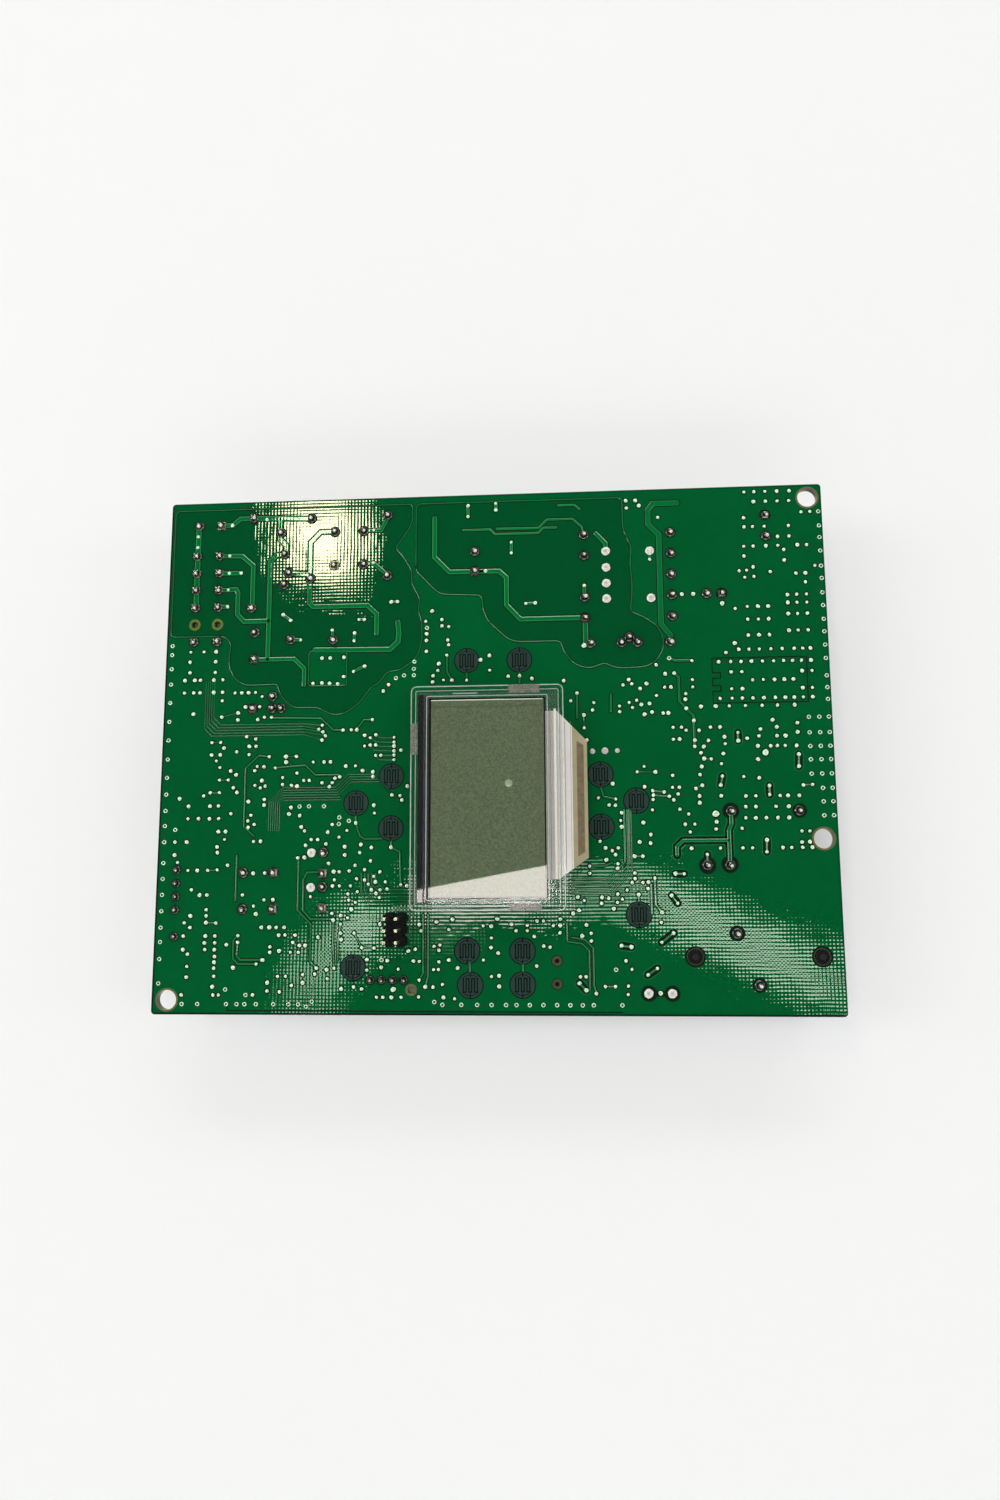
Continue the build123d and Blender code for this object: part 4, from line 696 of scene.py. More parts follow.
# ------------------------------------------------------------------ copper, mask and solder
def islands(node):
    """(lowest, highest) corner of each separate solid in a CAD node."""
    bm = bmesh.new()
    bm.from_mesh(frame["nodes"][node].data)
    bmesh.ops.remove_doubles(bm, verts=bm.verts, dist=1e-6)
    found, seen = [], set()
    for vert in bm.verts:
        if vert.index in seen:
            continue
        group, queue = [], [vert]
        seen.add(vert.index)
        while queue:
            v = queue.pop()
            group.append(v.co.copy())
            for edge in v.link_edges:
                other = edge.other_vert(v)
                if other.index not in seen:
                    seen.add(other.index)
                    queue.append(other)
        found.append((Vector(min(p[i] for p in group) for i in range(3)),
                      Vector(max(p[i] for p in group) for i in range(3))))
    bm.free()
    return found


def board_mm(point):
    """A point of the frame in mm from the board's lower left corner."""
    return ((point.x - BOARD_LOW.x) / MM, (point.y - BOARD_LOW.y) / MM)


def round_spots(node):
    """(x, y, radius) in board mm of each separate solid in a CAD node."""
    return [(*board_mm((low + high) / 2), (high.x - low.x + high.y - low.y) / 4 / MM)
            for low, high in islands(node)]


def close_to(x, y, places, reach):
    """Whether one of the places lies within reach of x, y."""
    return any(math.hypot(x - place[0], y - place[1]) < reach for place in places)


def inside(x, y, loop):
    """Whether x, y lies in a closed loop."""
    odd = False
    for (xa, ya), (xb, yb) in zip(loop, loop[1:] + loop[:1]):
        if (ya > y) != (yb > y) and x < xa + (y - ya) / (yb - ya) * (xb - xa):
            odd = not odd
    return odd


def floor_level(x, y):
    """Height of the surface at x, y: bare laminate in the moats, mask over copper elsewhere."""
    moat = not inside(x, y, ISLAND) and (inside(x, y, MAINS_MOAT) or inside(x, y, SUPPLY_MOAT))
    return 0.0 if moat else MASK


def build_pour():
    """Mask over the copper that covers both sides, open at the moats and holes."""
    edge = 0.45
    outline = [(edge, edge), (LENGTH - edge, edge), (LENGTH - edge, WIDTH - edge), (edge, WIDTH - edge)]
    loops = [rounded(outline, 0.8), rounded(MAINS_MOAT), rounded(SUPPLY_MOAT), rounded(ISLAND, 0.8)]
    loops += [circle(x, y, 2.65) for x, y in MOUNT_HOLES]
    loops += [circle(x, y, 1.95) for x, y in PEGS]
    loops += [circle(x, y, 1.25, 20) for x, y in EMPTY_HOLES[2:]]
    sheet("copper_pour", loops, 0.0, MASK, (mask_pour, mask_edge), "laminate")
    sheet("copper_pour_components", loops, -THICK - MASK, -THICK, (mask_pour, mask_edge), "laminate")


def closed(loop):
    """The loop with its first two points again at the end, so that a strip along it has no gap."""
    return loop + [loop[0], loop[1]]


def build_tracks():
    """Copper tracks under the mask: their shoulders catch the light and are painted lighter, partly where the
    mask thins and partly as highlight; their gaps are dark. Painted highlight lines run round the moats,
    painted shade along the left and bottom edges.
    """
    batch = Batch("copper_tracks", mask_track_and_highlight, mask_edge, mask_gap_and_shade, joint_shadow)
    # painted highlight: a lighter raised line, in a dark outline, along the edge of each moat and of the
    # island
    for loop, reach in ((MAINS_MOAT, 1.2), (SUPPLY_MOAT, 1.2), (ISLAND, 0.8)):
        line = closed(rounded(loop, reach))
        batch.outline(line, 0.6)
        batch.strip(line, 0.26, 0.03, MASK + OUTLINE, 0.1)
    for width, path in MOAT_TRACKS:
        batch.outline(path, width + 0.5, 0.0)
        batch.strip(path, width, 0.07, OUTLINE, 0.2, mask_track_and_highlight, mask_edge)
    for width, path in POUR_TRACKS:
        margin, shoulder, edge_kind = (0.26, 0.05, mask_track_and_highlight) if width <= THIN else (0.5, 0.08, mask_edge)
        batch.outline(path, width + margin)
        batch.strip(path, width, 0.03, MASK + OUTLINE, shoulder, mask_track_and_highlight, edge_kind)
    for width, path in GAPPED_TRACKS:
        middle = 0.35 if len(path) == 2 else width - 0.2
        batch.strip(path, 2.1, 0.006, MASK, 0.06, mask_track_and_highlight, mask_edge)
        batch.strip(path, 1.8, 0.004, MASK + 0.006, 0.02, joint_shadow, mask_gap_and_shade)
        batch.strip(path, middle, 0.05, MASK + 0.01, 0.12, mask_track_and_highlight, mask_edge)
    batch.outline(CHIP_OUTLINE, 0.28)
    batch.outline(EDGE_GROOVE, 0.3)
    # painted shade: dark lines along the board's left and bottom edges only
    batch.outline([(0.2, 0.9), (0.2, WIDTH - 0.9)], 0.4)
    batch.outline([(0.9, 0.2), (LENGTH - 0.9, 0.2)], 0.4)
    batch.finish("laminate")


JOINTS = round_spots("solder_joints")
CLEAR_OF_JOINT = 1.3          # a track's end this near a joint has no bead of its own, mm
SAME_DOT = 0.5                # beads nearer than this are one bead
SAME_PAD = 0.7                # a pad this near a joint is the joint's own
BEAD_RADII = (0.36, 0.49)
BEAD_HALO = 0.27              # width of the dark ring round a bead
SHORT_TRACK = 4.2             # a track shorter than this has a bead at each end


def bead(batch, x, y, size):
    """Uneven low bead of solder in a thin dark ring."""
    base = floor_level(x, y)
    batch.disc(x, y, size + BEAD_HALO, base + 0.006, 14, joint_shadow)
    lift = random.uniform(0.16, 0.28)
    wobble = [random.uniform(0.88, 1.12) for _ in range(10)]
    batch.turned(x, y, [(size, base), (size * 0.94, base + lift * 0.45), (size * 0.62, base + lift * 0.9),
                        (0, base + lift)], 10, wobble=wobble)


def track_ends():
    """Ends of the short tracks that carry a bead of their own."""
    short = [path for _, path in MOAT_TRACKS + GAPPED_TRACKS if len(path) == 2]
    short = [path for path in short if (Vector(path[0]) - Vector(path[1])).length < SHORT_TRACK]
    return [end for path in short for end in path if not close_to(*end, JOINTS, CLEAR_OF_JOINT)]


def build_dots():
    """Beads of solder on the vias, flat lands of test points and of parts left out."""
    batch = Batch("via_solder", solder_bright, hole_dark, mask_gap_and_shade, land_white_and_glint, land_grey, via_green,
                  joint_shadow, mask_track_and_highlight)
    for start, end in DOT_BARS:
        batch.outline([start, end], 0.62)
        batch.strip([start, end], 0.26, 0.04, MASK + OUTLINE, 0.08, mask_track_and_highlight)
    for x, y in HALO_LANDS:
        batch.disc(x, y, 1.75, MASK + 0.004, 28, joint_shadow)
    batch.strip(HALO_LANDS, 1.3, 0.006, MASK, 0.02, joint_shadow)
    placed = []
    for x, y in VIA_DOTS + track_ends() + [end for pair in DOT_BARS for end in pair]:
        if close_to(x, y, placed, SAME_DOT):
            continue
        placed.append((x, y))
        bead(batch, x, y, random.uniform(*BEAD_RADII))
    for x, y, size in BEADS:
        bead(batch, x, y, size)
    for x, y in EDGE_VIAS:
        batch.disc(x, y, 0.6, MASK + 0.003, 12, mask_gap_and_shade, 0.002)
        batch.turned(x, y, [(0.48, MASK), (0.44, MASK + 0.05), (0.28, MASK + 0.05), (0.26, MASK + 0.01),
                            (0, MASK + 0.01)], 12, kinds=(solder_bright, solder_bright, hole_dark, via_green))
    for x, y, size in TEST_LANDS:
        batch.disc(x, y, size + 0.16, MASK + 0.003, 20, mask_gap_and_shade)
        batch.turned(x, y, [(size, MASK), (size - 0.05, MASK + 0.05), (0, MASK + 0.06)], 20, land_grey)
    for x, y in FLAT_PADS + HALO_LANDS:
        base = floor_level(x, y)
        if (x, y) not in HALO_LANDS:
            batch.disc(x, y, 1.22, base + 0.006, 20, mask_gap_and_shade)
        wobble = [random.uniform(0.94, 1.06) for _ in range(18)]
        profile = [(1.02, 0), (0.96, 0.12), (0.5, 0.2), (0.34, 0.14), (0, 0.13)]
        batch.turned(x, y, [(radius, base + height) for radius, height in profile], 18,
                     kinds=(land_white_and_glint, land_white_and_glint, land_white_and_glint, land_grey), wobble=wobble)
    batch.finish("solder")


def build_joints():
    """Concave fillets over the cropped leads, in place of the CAD's joints; some lands are square. Each
    fillet carries small white domes of painted highlight.
    """
    batch = Batch("solder_fillets", solder_dark, joint_shadow, land_white_and_glint)
    slim = round_spots("sensor_pins") + round_spots("panel_pins")
    for x, y, size in HALOS:
        batch.turned(x, y, [(size + 0.12, MASK + 0.003), (size, MASK + 0.012), (0, MASK + 0.012)], 32,
                     joint_shadow)
    for x, y, size in JOINTS:
        base = floor_level(x, y)
        square = close_to(x, y, SQUARE_PADS, SAME_PAD)
        thin = close_to(x, y, slim, SAME_PAD)
        size *= 0.8 if thin else 1.0
        batch.disc(x, y, size + 0.26, base + 0.012, 20, joint_shadow, 0.004)
        if square:
            batch.box(x, y, size, size, base, base + 0.12, bevel=0.05)
        grip = max(0.5, size * 0.52)
        lean = random.uniform(1.0, 1.12)
        count, turn = (4, math.pi / 4) if square else (16, random.uniform(0, 1))
        spread = 1.28 if square else 1.0
        tip = 1.13 if size < 1.1 else 1.16
        wobble = None if square else [random.uniform(0.95, 1.05) for _ in range(count)]
        profile = [(size * spread, base + 0.03), (size * 0.8 * spread, base + 0.14), (size * 0.66, 0.4),
                   (grip * 1.08, 0.78), (grip, tip), (0, tip * lean)]
        batch.turned(x, y, profile, count, start=turn, smooth=not square, wobble=wobble)
        # painted highlights: a white dome over each lead tip, and a smaller one beside it, stand in for
        # glints of light on the solder
        glint = 0.2 if thin else random.uniform(0.3, 0.44)
        dx, dy = random.uniform(0.05, 0.3), random.uniform(-0.3, 0.05)
        top = tip * lean
        batch.turned(x + dx, y + dy, [(glint, tip - 0.25), (glint, tip + 0.02), (glint * 0.7, top + 0.05),
                                      (0, top + 0.09)], 10, land_white_and_glint)
        if not thin:
            small, across = random.uniform(0.12, 0.2), random.uniform(0.1, 0.4)
            batch.turned(x - dx, y + across, [(small, tip - 0.4), (small, tip), (0, top + 0.04)], 8,
                         land_white_and_glint)
    batch.finish("solder", "solder_joints")


def rim(batch, x, y, outer, inner, rise, segments, kind):
    """Ring of bare laminate round a hole."""
    top = MASK + rise
    batch.turned(x, y, [(outer, MASK), (outer - 0.04, top), (inner, top), (inner, 0)], segments, kind,
                 smooth=False)


def build_bare_rings():
    """Unmasked laminate round the unplated holes, the ends of the pegs, and painted shade in two holes: a
    dark disc sunk in each.
    """
    batch = Batch("bare_rings", bare_laminate, mask_gap_and_shade, bare_rim, dull_black_and_shade, peg_middle, olive_rim)
    for x, y in MOUNT_HOLES:
        rim(batch, x, y, 2.62, 2.2, 0.02, 40, bare_laminate)
    for x, y in PEGS:
        batch.turned(x, y, [(2.3, MASK + 0.003), (1.8, MASK + 0.006)], 32, mask_gap_and_shade)
        rim(batch, x, y, 1.88, 1.64, 0.02, 32, bare_rim)
        end, middle = PEG_PROUD + 0.02, PEG_PROUD + 0.01
        profile = [(1.48, PEG_PROUD - 0.02), (1.44, end), (0.75, end), (0.7, middle), (0, middle)]
        batch.turned(x, y, profile, 28, kinds=(dull_black_and_shade, dull_black_and_shade, dull_black_and_shade, peg_middle))
    for (x, y), (outer, kind) in zip(EMPTY_HOLES, HOLE_RIMS):
        rim(batch, x, y, outer, 0.8, 0.03, 28, kind)
    # painted shade: a black disc sunk in the hole
    for x, y in SHADED_HOLES:
        batch.turned(x, y, [(1.3, MASK + 0.003), (1.06, MASK + 0.006)], 28, mask_gap_and_shade)
        batch.turned(x, y, [(0.8, 0.0), (0.5, -0.12), (0.48, -0.3), (0, -0.3)], 28,
                     kinds=(bare_rim, dull_black_and_shade, dull_black_and_shade), smooth=False)
    batch.finish("laminate")


CARBON = MASK + 0.032         # top of the printed carbon, mm


def build_key_pads():
    """Printed carbon contacts: a round pad split in two by a winding gap, the ring open above and below."""
    batch = Batch("carbon_keys", carbon, carbon_gap)
    radius, step, reach = 2.78, 0.62, 1.45
    for cx, cy in KEY_PADS:
        batch.disc(cx, cy, radius + 0.2, MASK + 0.003, 36, carbon_gap)
        batch.turned(cx, cy, [(radius, MASK + 0.006), (radius - 0.05, MASK + 0.03), (0, CARBON)], 20,
                     start=math.pi / 20, smooth=False)
        winding = []
        for i in range(6):
            x = cx + (i - 2.5) * step
            ends = (cy - reach, cy + reach) if i % 2 else (cy + reach, cy - reach)
            winding += [(x, ends[0]), (x, ends[1])]
        batch.strip(winding, 0.26, 0.006, CARBON, 0.02, carbon_gap)
        for side in (-1, 1):
            batch.strip([(cx, cy + side * (reach + 0.45)), (cx, cy + side * (radius + 0.1))], 0.24, 0.006,
                        CARBON, 0.02, carbon_gap)
            sweep = [math.pi / 2 * side + math.radians(a) for a in range(-52, 53, 13)]
            arc = [(cx + 2.25 * math.cos(a), cy + 2.25 * math.sin(a)) for a in sweep]
            batch.strip(arc, 0.14, 0.006, CARBON, 0.02, carbon_gap)
    batch.finish("laminate")


build_pour()
build_tracks()
build_dots()
build_joints()
build_bare_rings()
build_key_pads()


# ------------------------------------------------------------------ finishes of the CAD parts
FINISHES = {
    "clear_frame": clear_material("clear_frame", (120, 140, 130), 0.035),
    "display_glass": clear_material("display_glass", (200, 206, 200), 0.04, bump=0.0),
    "fuse_glass": clear_material("fuse_glass", (226, 232, 228), 0.3),
    "elastomer": plain("elastomer", (30, 30, 34), 0.6),
    "white_film": plain("white_film", (214, 208, 202), 0.4, mottle=0.03),
    "light_guide": plain("light_guide", (222, 216, 212), 0.12, mottle=0.03, bump=0.05, coat=0.6),
    "beige_plastic": plain("beige_plastic", (152, 143, 114), 0.4, mottle=0.07, scale=500.0),
    "black_plastic": plain("black_plastic", (26, 26, 28), 0.42, mottle=0.15, bump=0.35),
    "white_plastic": plain("white_plastic", (222, 220, 210), 0.4, mottle=0.04, bump=0.25),
    "gold_pin": plain("gold_pin", (200, 198, 172), 0.24, metallic=1.0, mottle=0.1, scale=1500.0),
    "tinned_metal": plain("tinned_metal", (205, 205, 200), 0.28, metallic=1.0, mottle=0.12, scale=1500.0,
                          bump=0.3),
    "blue_resin": plain("blue_resin", (30, 78, 150), 0.2, mottle=0.08, coat=0.5, bump=0.3, grain=900.0),
    "copper_wire": plain("copper_wire", (176, 84, 40), 0.28, metallic=0.9, mottle=0.12, coat=0.6),
    "ferrite": plain("ferrite", (58, 56, 58), 0.55, mottle=0.2, scale=2500.0, bump=0.6),
    "yellow_box": plain("yellow_box", (214, 176, 60), 0.35, mottle=0.04, bump=0.25),
    "can_sleeve": plain("can_sleeve", (34, 40, 66), 0.3, mottle=0.08, coat=0.4),
    "chip_ceramic": plain("chip_ceramic", (140, 116, 92), 0.45, mottle=0.15, scale=2500.0),
    "led": plain("led_lens", (236, 226, 150), 0.2, mottle=0.06, transmission=0.3, ior=1.5),
    "polariser": display_material(),
    "laminate": board_material(),
    "solder": solder_dark,
}
for part in frame["record"]["subparts"]:
    node = frame["nodes"][part["node"]]
    node.data.materials.clear()
    node.data.materials.append(FINISHES[part["material_slot"]])


# ------------------------------------------------------------------ display details
black_ink = plain("black_ink", (9, 9, 11), 0.6, mottle=0.2, specular=0.1, bump=0, coat=1.0,
                  coat_roughness=0.02)
olive_dark = plain("polariser_border", (64, 76, 52), 0.3, coat=1.0, coat_roughness=0.02)
olive_pale = plain("polariser_spot", (128, 142, 114), 0.3, coat=1.0, coat_roughness=0.02)
# painted highlight: pale lines along the clear holder's edges
rim_highlight = plain("clear_rim_highlight", (214, 226, 218), 0.12, alpha=0.5, coat=1.0, mottle=0.15, scale=700.0)
clip_grey = plain("clip_grey", (134, 124, 118), 0.3, alpha=0.6, coat=0.6, mottle=0.25, scale=900.0)
guide_shadow = plain("guide_shadow", (118, 112, 108), 0.4, mottle=0.1)
# painted shade for the hollow inside the LED housing
housing_hollow_shade = plain("housing_hollow_shade", (104, 88, 62), 0.45, mottle=0.2, scale=1200.0)


SNAP_ARM = 1.0                # reach of the holder's snap arms outside its walls, mm


def board_box(node):
    """(left, low, right, high, top) of a CAD node in board mm, top above the display side."""
    low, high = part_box(node)
    return board_mm(low) + board_mm(high) + ((high.z - FACE) / MM,)


def holder_box():
    """The display holder's box without the snap arms, which stand outside three of its walls."""
    left, low, right, high, top = board_box("display_holder")
    return left + SNAP_ARM, low + SNAP_ARM, right, high - SNAP_ARM, top


def span(batch, left, low, right, high, bottom, top, kind=None):
    """Block between two corners."""
    batch.box((left + right) / 2, (low + high) / 2, (right - left) / 2, (high - low) / 2, bottom, top, kind)


def build_display_lines():
    """Ink round the polariser, the border of the active area, and a round mark."""
    left, low, right, high, level = board_box("front_polariser")
    batch = Batch("display_ink", black_ink, land_white_and_glint, olive_dark, olive_pale)
    up = level + 0.03
    span(batch, left, low, left + 0.45, high, level, up)
    span(batch, left, high - 0.34, right, high, level, up)
    span(batch, left + 0.45, high - 0.56, right - 0.5, high - 0.34, level, level + 0.02, land_white_and_glint)
    span(batch, right - 0.3, low, right, high, level, up)
    span(batch, left + 0.45, low, right - 0.3, low + 0.3, level, up)
    span(batch, left + 0.6, high - 2.0, right - 0.6, high - 1.82, level, level + 0.01, olive_dark)
    span(batch, right - 1.45, low + 6.0, right - 1.3, high - 1.9, level, level + 0.01, olive_dark)
    batch.turned(81.3, 50.7, [(0.85, level + 0.001), (0.8, level + 0.012), (0, level + 0.014)], 24,
                 olive_pale)
    glass_left, glass_low, _, glass_high, glass_top = board_box("lcd_cell")
    for start, end, short in ((0.1, 1.3, 0.4), (1.75, 1.95, 0.8)):
        span(batch, glass_left + start, glass_low + 0.4, glass_left + end, glass_high - short,
             glass_top + 0.1, glass_top + 0.14)
    batch.finish("polariser")


def build_rim_highlights():
    """Rounded edges of the clear holder, painted pale as highlights where they catch the light."""
    left, low, right, high, top = holder_box()
    batch = Batch("rim_highlights", rim_highlight)
    for inset, width in ((0.14, 0.24), (1.15, 0.16), (3.6, 0.2)):
        x0, y0, x1, y1 = left + inset, low + inset, right - inset, high - inset
        if inset > 2:
            y0, y1 = low + inset / 2 + 0.6, high - inset / 2 - 0.6
        corner = max(0.35, 1.5 - inset)
        loop = rounded([(x0, y0), (x1, y0), (x1, y1), (x0, y1)], corner)
        batch.strip(closed(loop), width, 0.05, top - 0.06, width * 0.4)
    batch.finish("clear_frame")


def build_clip_caps():
    """Thicker plastic over the three snap arms, greyer than the frame round it, with two thin lines of
    painted highlight.
    """
    left, low, _, high, top = holder_box()
    batch = Batch("clip_caps", clip_grey, rim_highlight)
    span(batch, left + 21.9, high - 1.9, left + 28.9, high - 0.05, top - 0.4, top - 0.01)
    span(batch, left + 21.9, low + 0.05, left + 28.9, low + 1.6, top - 0.4, top - 0.01)
    span(batch, left + 0.05, low + 34.5, left + 1.6, low + 41.5, top - 0.4, top - 0.01)
    # two thin lines of painted highlight along cap edges
    span(batch, left + 23.4, low + 1.65, left + 28.6, low + 1.85, top - 0.2, top - 0.01, rim_highlight)
    span(batch, left + 9.5, high - 1.9, left + 15.0, high - 1.7, top - 0.2, top - 0.01, rim_highlight)
    batch.finish("clear_frame")


def build_guide_bands():
    """Ridges along the light guide's bright end, beside the glass."""
    _, low, _, high, top = board_box("light_guide")
    film = FINISHES["white_film"]
    batch = Batch("guide_bands", film, guide_shadow)
    _, _, holder_right, _, holder_top = board_box("display_holder")
    for x, width in ((holder_right + 0.16, 0.1), (holder_right + 1.42, 0.08)):
        span(batch, x, low + 1.9, x + width, high - 2.4, top, top + 0.02, guide_shadow)
    for inward, width, kind in ((3.1, 0.14, guide_shadow), (2.2, 0.5, film), (1.0, 0.1, guide_shadow)):
        x = holder_right - inward
        span(batch, x, low, x + width, high, holder_top - 0.3, holder_top - 0.26, kind)
    batch.finish("light_guide")


def build_housing_shade_band():
    """Painted shade: a darker flat patch on top of the LED housing, where its hollow is seen through the top.
    """
    left, low, right, high, top = board_box("led_housing")
    batch = Batch("housing_shade_band", housing_hollow_shade)
    x0, x1 = left + 1.0, right - 0.75
    y0, y1 = low + 2.6, high - 3.4
    slope, level = 1.0, top + 0.012
    corners = [(x0, y0), (x1, y0 + slope), (x1, y1 - slope), (x0, y1)]
    batch.points += [spot(x, y, level) for x, y in corners]
    batch.add((0, 1, 2, 3))
    batch.finish("beige_plastic")


def build_header_cells():
    """The programming header's moulding: six cells with their corners cut, so its sides are notched."""
    left, low, right, high, top = board_box("programming_header")
    half_x, half_y = (right - left) / 4, (high - low) / 6
    reach = min(half_x, half_y) / math.cos(math.pi / 8)
    batch = Batch("header_cells", dull_black_and_shade)
    for x in (left + half_x, right - half_x):
        for y in (low + half_y, low + 3 * half_y, high - half_y):
            batch.turned(x, y, [(reach, 0), (reach, top - 0.1), (reach - 0.1, top), (0, top)], 8,
                         start=math.pi / 8, smooth=False)
    span(batch, left + half_x, low + half_y, right - half_x, high - half_y, 0, top - 0.2)
    batch.finish("black_plastic", "programming_header")


build_display_lines()
build_rim_highlights()
build_clip_caps()
build_guide_bands()
build_housing_shade_band()
build_header_cells()


# ------------------------------------------------------------------ wire turns of the chokes
SECTION_GAP = 1.0 * MM        # between a bobbin's two sections
TURN_STEPS = 24
SQUARENESS = 4                # power of the rounded square that each turn follows


def wind_choke(node, wire):
    """Round wire wound in one layer on each of the two sections of a choke's bobbin, in place of its plain
    block.
    """
    low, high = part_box(node)
    cx, cz = (low.x + high.x) / 2, (low.z + high.z) / 2
    half_x, half_z = (high.x - low.x) / 2 - wire / 2, (high.z - low.z) / 2 - wire / 2
    curve = bpy.data.curves.new(node + "_wire", "CURVE")
    curve.dimensions = "3D"
    curve.bevel_depth = wire / 2
    curve.bevel_resolution = 2
    length = (high.y - low.y - SECTION_GAP) / 2
    starts = (low.y, low.y + length + SECTION_GAP)
    steps = int((length - wire) / wire) * TURN_STEPS
    for start in starts:
        places = []
        for i in range(steps + 1):
            angle = 2 * math.pi * i / TURN_STEPS
            c, s = math.cos(angle), math.sin(angle)
            reach = (abs(c) ** SQUARENESS + abs(s) ** SQUARENESS) ** (-1 / SQUARENESS)
            y = start + wire * 0.6 + (length - 1.2 * wire) * i / steps
            places.append((cx + half_x * reach * c, y, cz + half_z * reach * s))
        spline = curve.splines.new("POLY")
        spline.points.add(len(places) - 1)
        for p, place in zip(spline.points, places):
            p.co = (*place, 1)
    mesh = curve_mesh(node + "_wire", curve)
    core = bmesh.new()
    core.from_mesh(mesh)
    for start in starts:
        inner = bmesh.ops.create_cube(core, size=1.0)["verts"]
        for v in inner:
            v.co = Vector((cx + v.co.x * 2 * (half_x - wire * 0.3),
                           start + length / 2 + v.co.y * (length - wire * 0.4),
                           cz + v.co.z * 2 * (half_z - wire * 0.3)))
    core.to_mesh(mesh)
    core.free()
    mesh.polygons.foreach_set("use_smooth", [True] * len(mesh.polygons))
    mesh.materials.append(FINISHES["copper_wire"])
    add_piece(node.replace("windings", "turns"), mesh, "copper_wire", node)


wind_choke("line_choke_windings", 0.62 * MM)
wind_choke("bus_choke_windings", 0.5 * MM)


# ------------------------------------------------------------------ lands on the component side
def build_component_lands():
    """Lands round the joints and vias on the side the components stand on."""
    batch = Batch("component_lands", land_white_and_glint)
    under = -THICK - MASK
    for x, y, size in JOINTS:
        batch.turned(x, y, [(size, under), (size - 0.03, under - 0.04), (size * 0.55, under - 0.04),
                            (size * 0.5, under)], 20)
    for x, y in VIA_DOTS + EDGE_VIAS:
        batch.turned(x, y, [(0.45, under), (0.42, under - 0.03), (0.18, under - 0.03), (0.15, under)], 10)
    batch.finish("solder")


build_component_lands()


# ------------------------------------------------------------------ stage, light and camera
EVEN_SHARE = 0.5              # of the floor's seen tone
CLEAR_OF_BOARD = 1.12         # the even tone is in full from here, in half board sizes from the centre


def even_out(look, colour):
    """Away from the board's own footprint, a share of the floor as it is seen is an even pale tone."""
    path = look.node("LightPath", {})
    seen = path.outputs["Is Camera Ray"]
    for ray in ("Is Glossy Ray", "Is Transmission Ray"):
        seen = look.maths("MAXIMUM", seen, path.outputs[ray])
    split = look.node("SeparateXYZ", {"Vector": look.place()})
    reach = [look.maths("DIVIDE", look.maths("ABSOLUTE", split.outputs[axis]), size / 2 * MM)
             for axis, size in (("X", LENGTH), ("Y", WIDTH))]
    limits = {"From Min": 1.0, "From Max": CLEAR_OF_BOARD, "To Max": EVEN_SHARE}
    clear = look.node("MapRange", {"Value": look.maths("MAXIMUM", *reach), **limits}, "Result")
    even = look.node("Emission", {"Color": (*colour, 1.0)}, "Emission")
    part = look.maths("MULTIPLY", seen, clear)
    mix = look.node("MixShader", {0: part, 1: look.shader.outputs["BSDF"], 2: even}, "Shader")
    look.feed(look.nodes["Material Output"], {"Surface": mix})


FLAT_REACH, COVE, WALL_HEIGHT = 1.3, 0.6, 2.5     # the floor's flat part, its curve up, its wall, m


def build_stage():
    """Pale floor running up into a round wall, and a dim even world."""
    look = Look("pale_floor")
    look.paint(look.noise(3.0), [(0.3, (0.86, 0.86, 0.865)), (0.7, (0.88, 0.88, 0.885))])
    look.surface({"Roughness": 0.9, "Specular IOR Level": 0.1})
    even_out(look, linear(242, 242, 242))
    bends = [math.pi / 2 * step / 6 for step in range(7)]
    outline = [(FLAT_REACH + COVE * math.sin(angle), COVE * (1 - math.cos(angle))) for angle in bends]
    outline.append((FLAT_REACH + COVE, WALL_HEIGHT))
    around = 64
    points, faces = [(0.0, 0.0, 0.0)], []
    for radius, height in outline:
        points += [(x, y, height) for x, y in circle(0.0, 0.0, radius, around)]
    for i in range(around):
        j = (i + 1) % around
        faces.append((0, 1 + i, 1 + j))
        for ring in range(len(outline) - 1):
            low, high = 1 + ring * around, 1 + (ring + 1) * around
            faces.append((low + i, high + i, high + j, low + j))
    mesh = bpy.data.meshes.new("floor")
    mesh.from_pydata(points, [], faces)
    mesh.polygons.foreach_set("use_smooth", [True] * len(faces))
    mesh.materials.append(look.mat)
    floor = bpy.data.objects.new("floor", mesh)
    floor.location.z = cad_box[0][2] - 0.0002
    bpy.context.scene.collection.objects.link(floor)
    world = bpy.data.worlds.new("studio")
    world.use_nodes = True
    background = world.node_tree.nodes["Background"]
    background.inputs["Color"].default_value = (0.95, 0.98, 1.0, 1.0)
    background.inputs["Strength"].default_value = 0.035
    bpy.context.scene.world = world


CENTRE = spot(LENGTH / 2, WIDTH / 2)
EYE = Vector((17.53, -32.49, 221.67)) * MM      # the camera, from the centre of the display side


def lamp(name, offset, size, watts, colour=(1, 1, 1), turn=None):
    """Area lamp at an offset in metres from the board's centre, aimed at it unless turned flat."""
    data = bpy.data.lights.new(name, "AREA")
    data.shape = "RECTANGLE"
    data.size, data.size_y = size
    data.energy = watts
    data.color = colour
    light = bpy.data.objects.new(name, data)
    light.location = CENTRE + Vector(offset)
    if turn is None:
        light.rotation_euler = (-Vector(offset)).to_track_quat("-Z", "Y").to_euler()
    else:
        light.rotation_euler = (0, 0, math.radians(turn))
    bpy.context.scene.collection.objects.link(light)


GLARE_HEIGHT = 0.9            # of the lamps that make the glare, above the display side, m


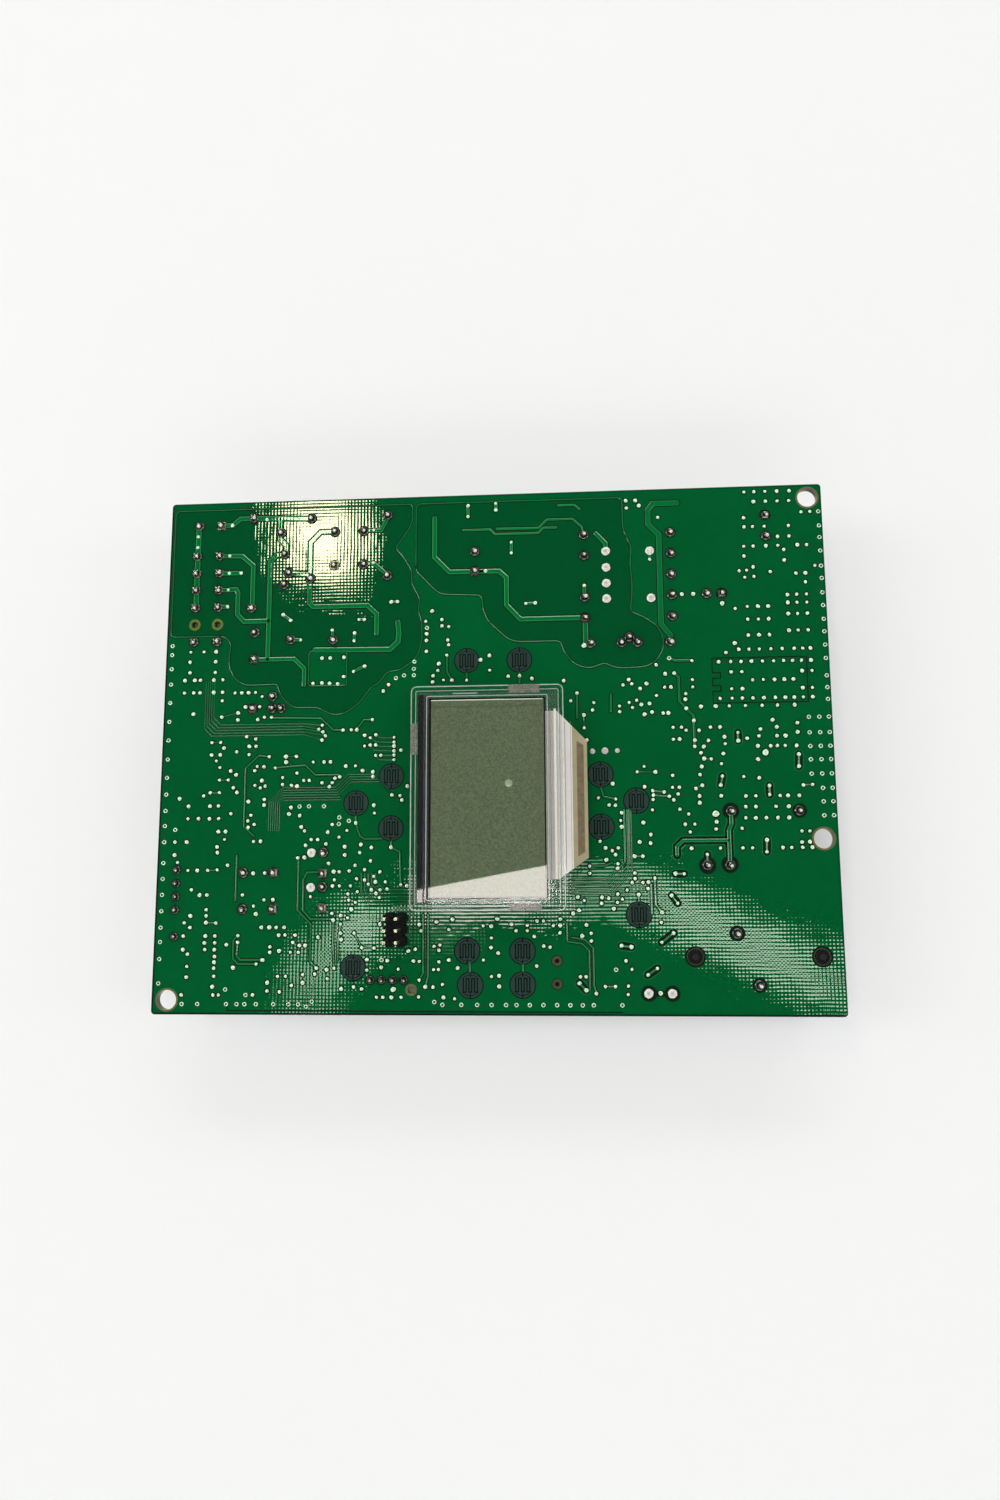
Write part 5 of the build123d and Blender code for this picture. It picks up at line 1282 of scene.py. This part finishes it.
def glare(name, x, y, length, width, turn, radiance, colour=(1, 1, 1)):
    """Small flat lamp whose mirror image lies on the board at x, y mm, length by width mm in size."""
    place = spot(x, y) - CENTRE
    away = Vector((place.x - EYE.x, place.y - EYE.y, EYE.z)) * (GLARE_HEIGHT / EYE.z)
    spread = (GLARE_HEIGHT / EYE.z + 1) * MM
    size = (length * spread, width * spread)
    watts = radiance * math.pi * size[0] * size[1]
    lamp(name, (place.x + away.x, place.y + away.y, GLARE_HEIGHT), size, watts, colour, turn)


def build_lights():
    """Soft lamps round the board, and the flat ones whose mirror images are the photo's glare."""
    lamp("left", (-1.62, 0.15, 1.2), (0.5, 1.6), 15.0)
    lamp("back", (0.1, 1.65, 1.25), (1.8, 0.5), 13.5)
    lamp("right", (1.62, 0.0, 1.2), (0.5, 1.6), 10.0)
    lamp("front", (0.0, -1.62, 1.2), (1.8, 0.5), 10.0)
    pale_yellow = (1.0, 0.97, 0.62)
    glare("cloud", 36.5, 111.5, 18.0, 16.0, 0, 34.0, pale_yellow)
    glare("cloud_low", 38.5, 101.5, 10.0, 5.0, -14, 28.0, pale_yellow)
    pale_green = (0.8, 1.0, 0.8)
    glare("arch_left", 39.0, 11.0, 20.0, 5.5, 57, 9.0, pale_green)
    glare("arch_left_high", 47.5, 19.5, 12.0, 6.5, 24, 14.0, pale_green)
    glare("arch_middle", 66.0, 21.0, 12.0, 6.0, -3, 1.8, pale_green)
    glare("arch_top", 103.0, 27.0, 20.0, 5.0, 0, 7.0, pale_green)
    glare("arch_right", 132.0, 15.8, 46.0, 5.5, -26.5, 13.0, pale_green)
    warm = (1.0, 0.93, 0.87)
    glare("wedge", 75.6, 27.1, 30.4, 6.0, 10.4, 14.5, warm)
    glare("wedge_low", 82.0, 26.0, 16.0, 4.0, 0, 14.5, warm)


# the way the photo's camera was turned
CAMERA_RIGHT = Vector((0.99757, -0.00476, -0.06956))
CAMERA_UP = Vector((0.01444, 0.99015, 0.13928))
CAMERA_BACK = Vector((0.06822, -0.13994, 0.98781))


def build_camera():
    """The photo's camera, its lens and place as solved from the board's corners."""
    data = bpy.data.cameras.new("camera")
    data.sensor_width = 36.0
    data.lens = 23.634
    data.clip_start = 0.005
    camera = bpy.data.objects.new("camera", data)
    turn = Matrix((CAMERA_RIGHT, CAMERA_UP, CAMERA_BACK)).transposed().to_4x4()
    camera.matrix_world = Matrix.Translation(CENTRE + EYE) @ turn
    bpy.context.scene.collection.objects.link(camera)
    bpy.context.scene.camera = camera


build_stage()
build_lights()
build_camera()
bpy.context.scene.view_settings.view_transform = "Standard"
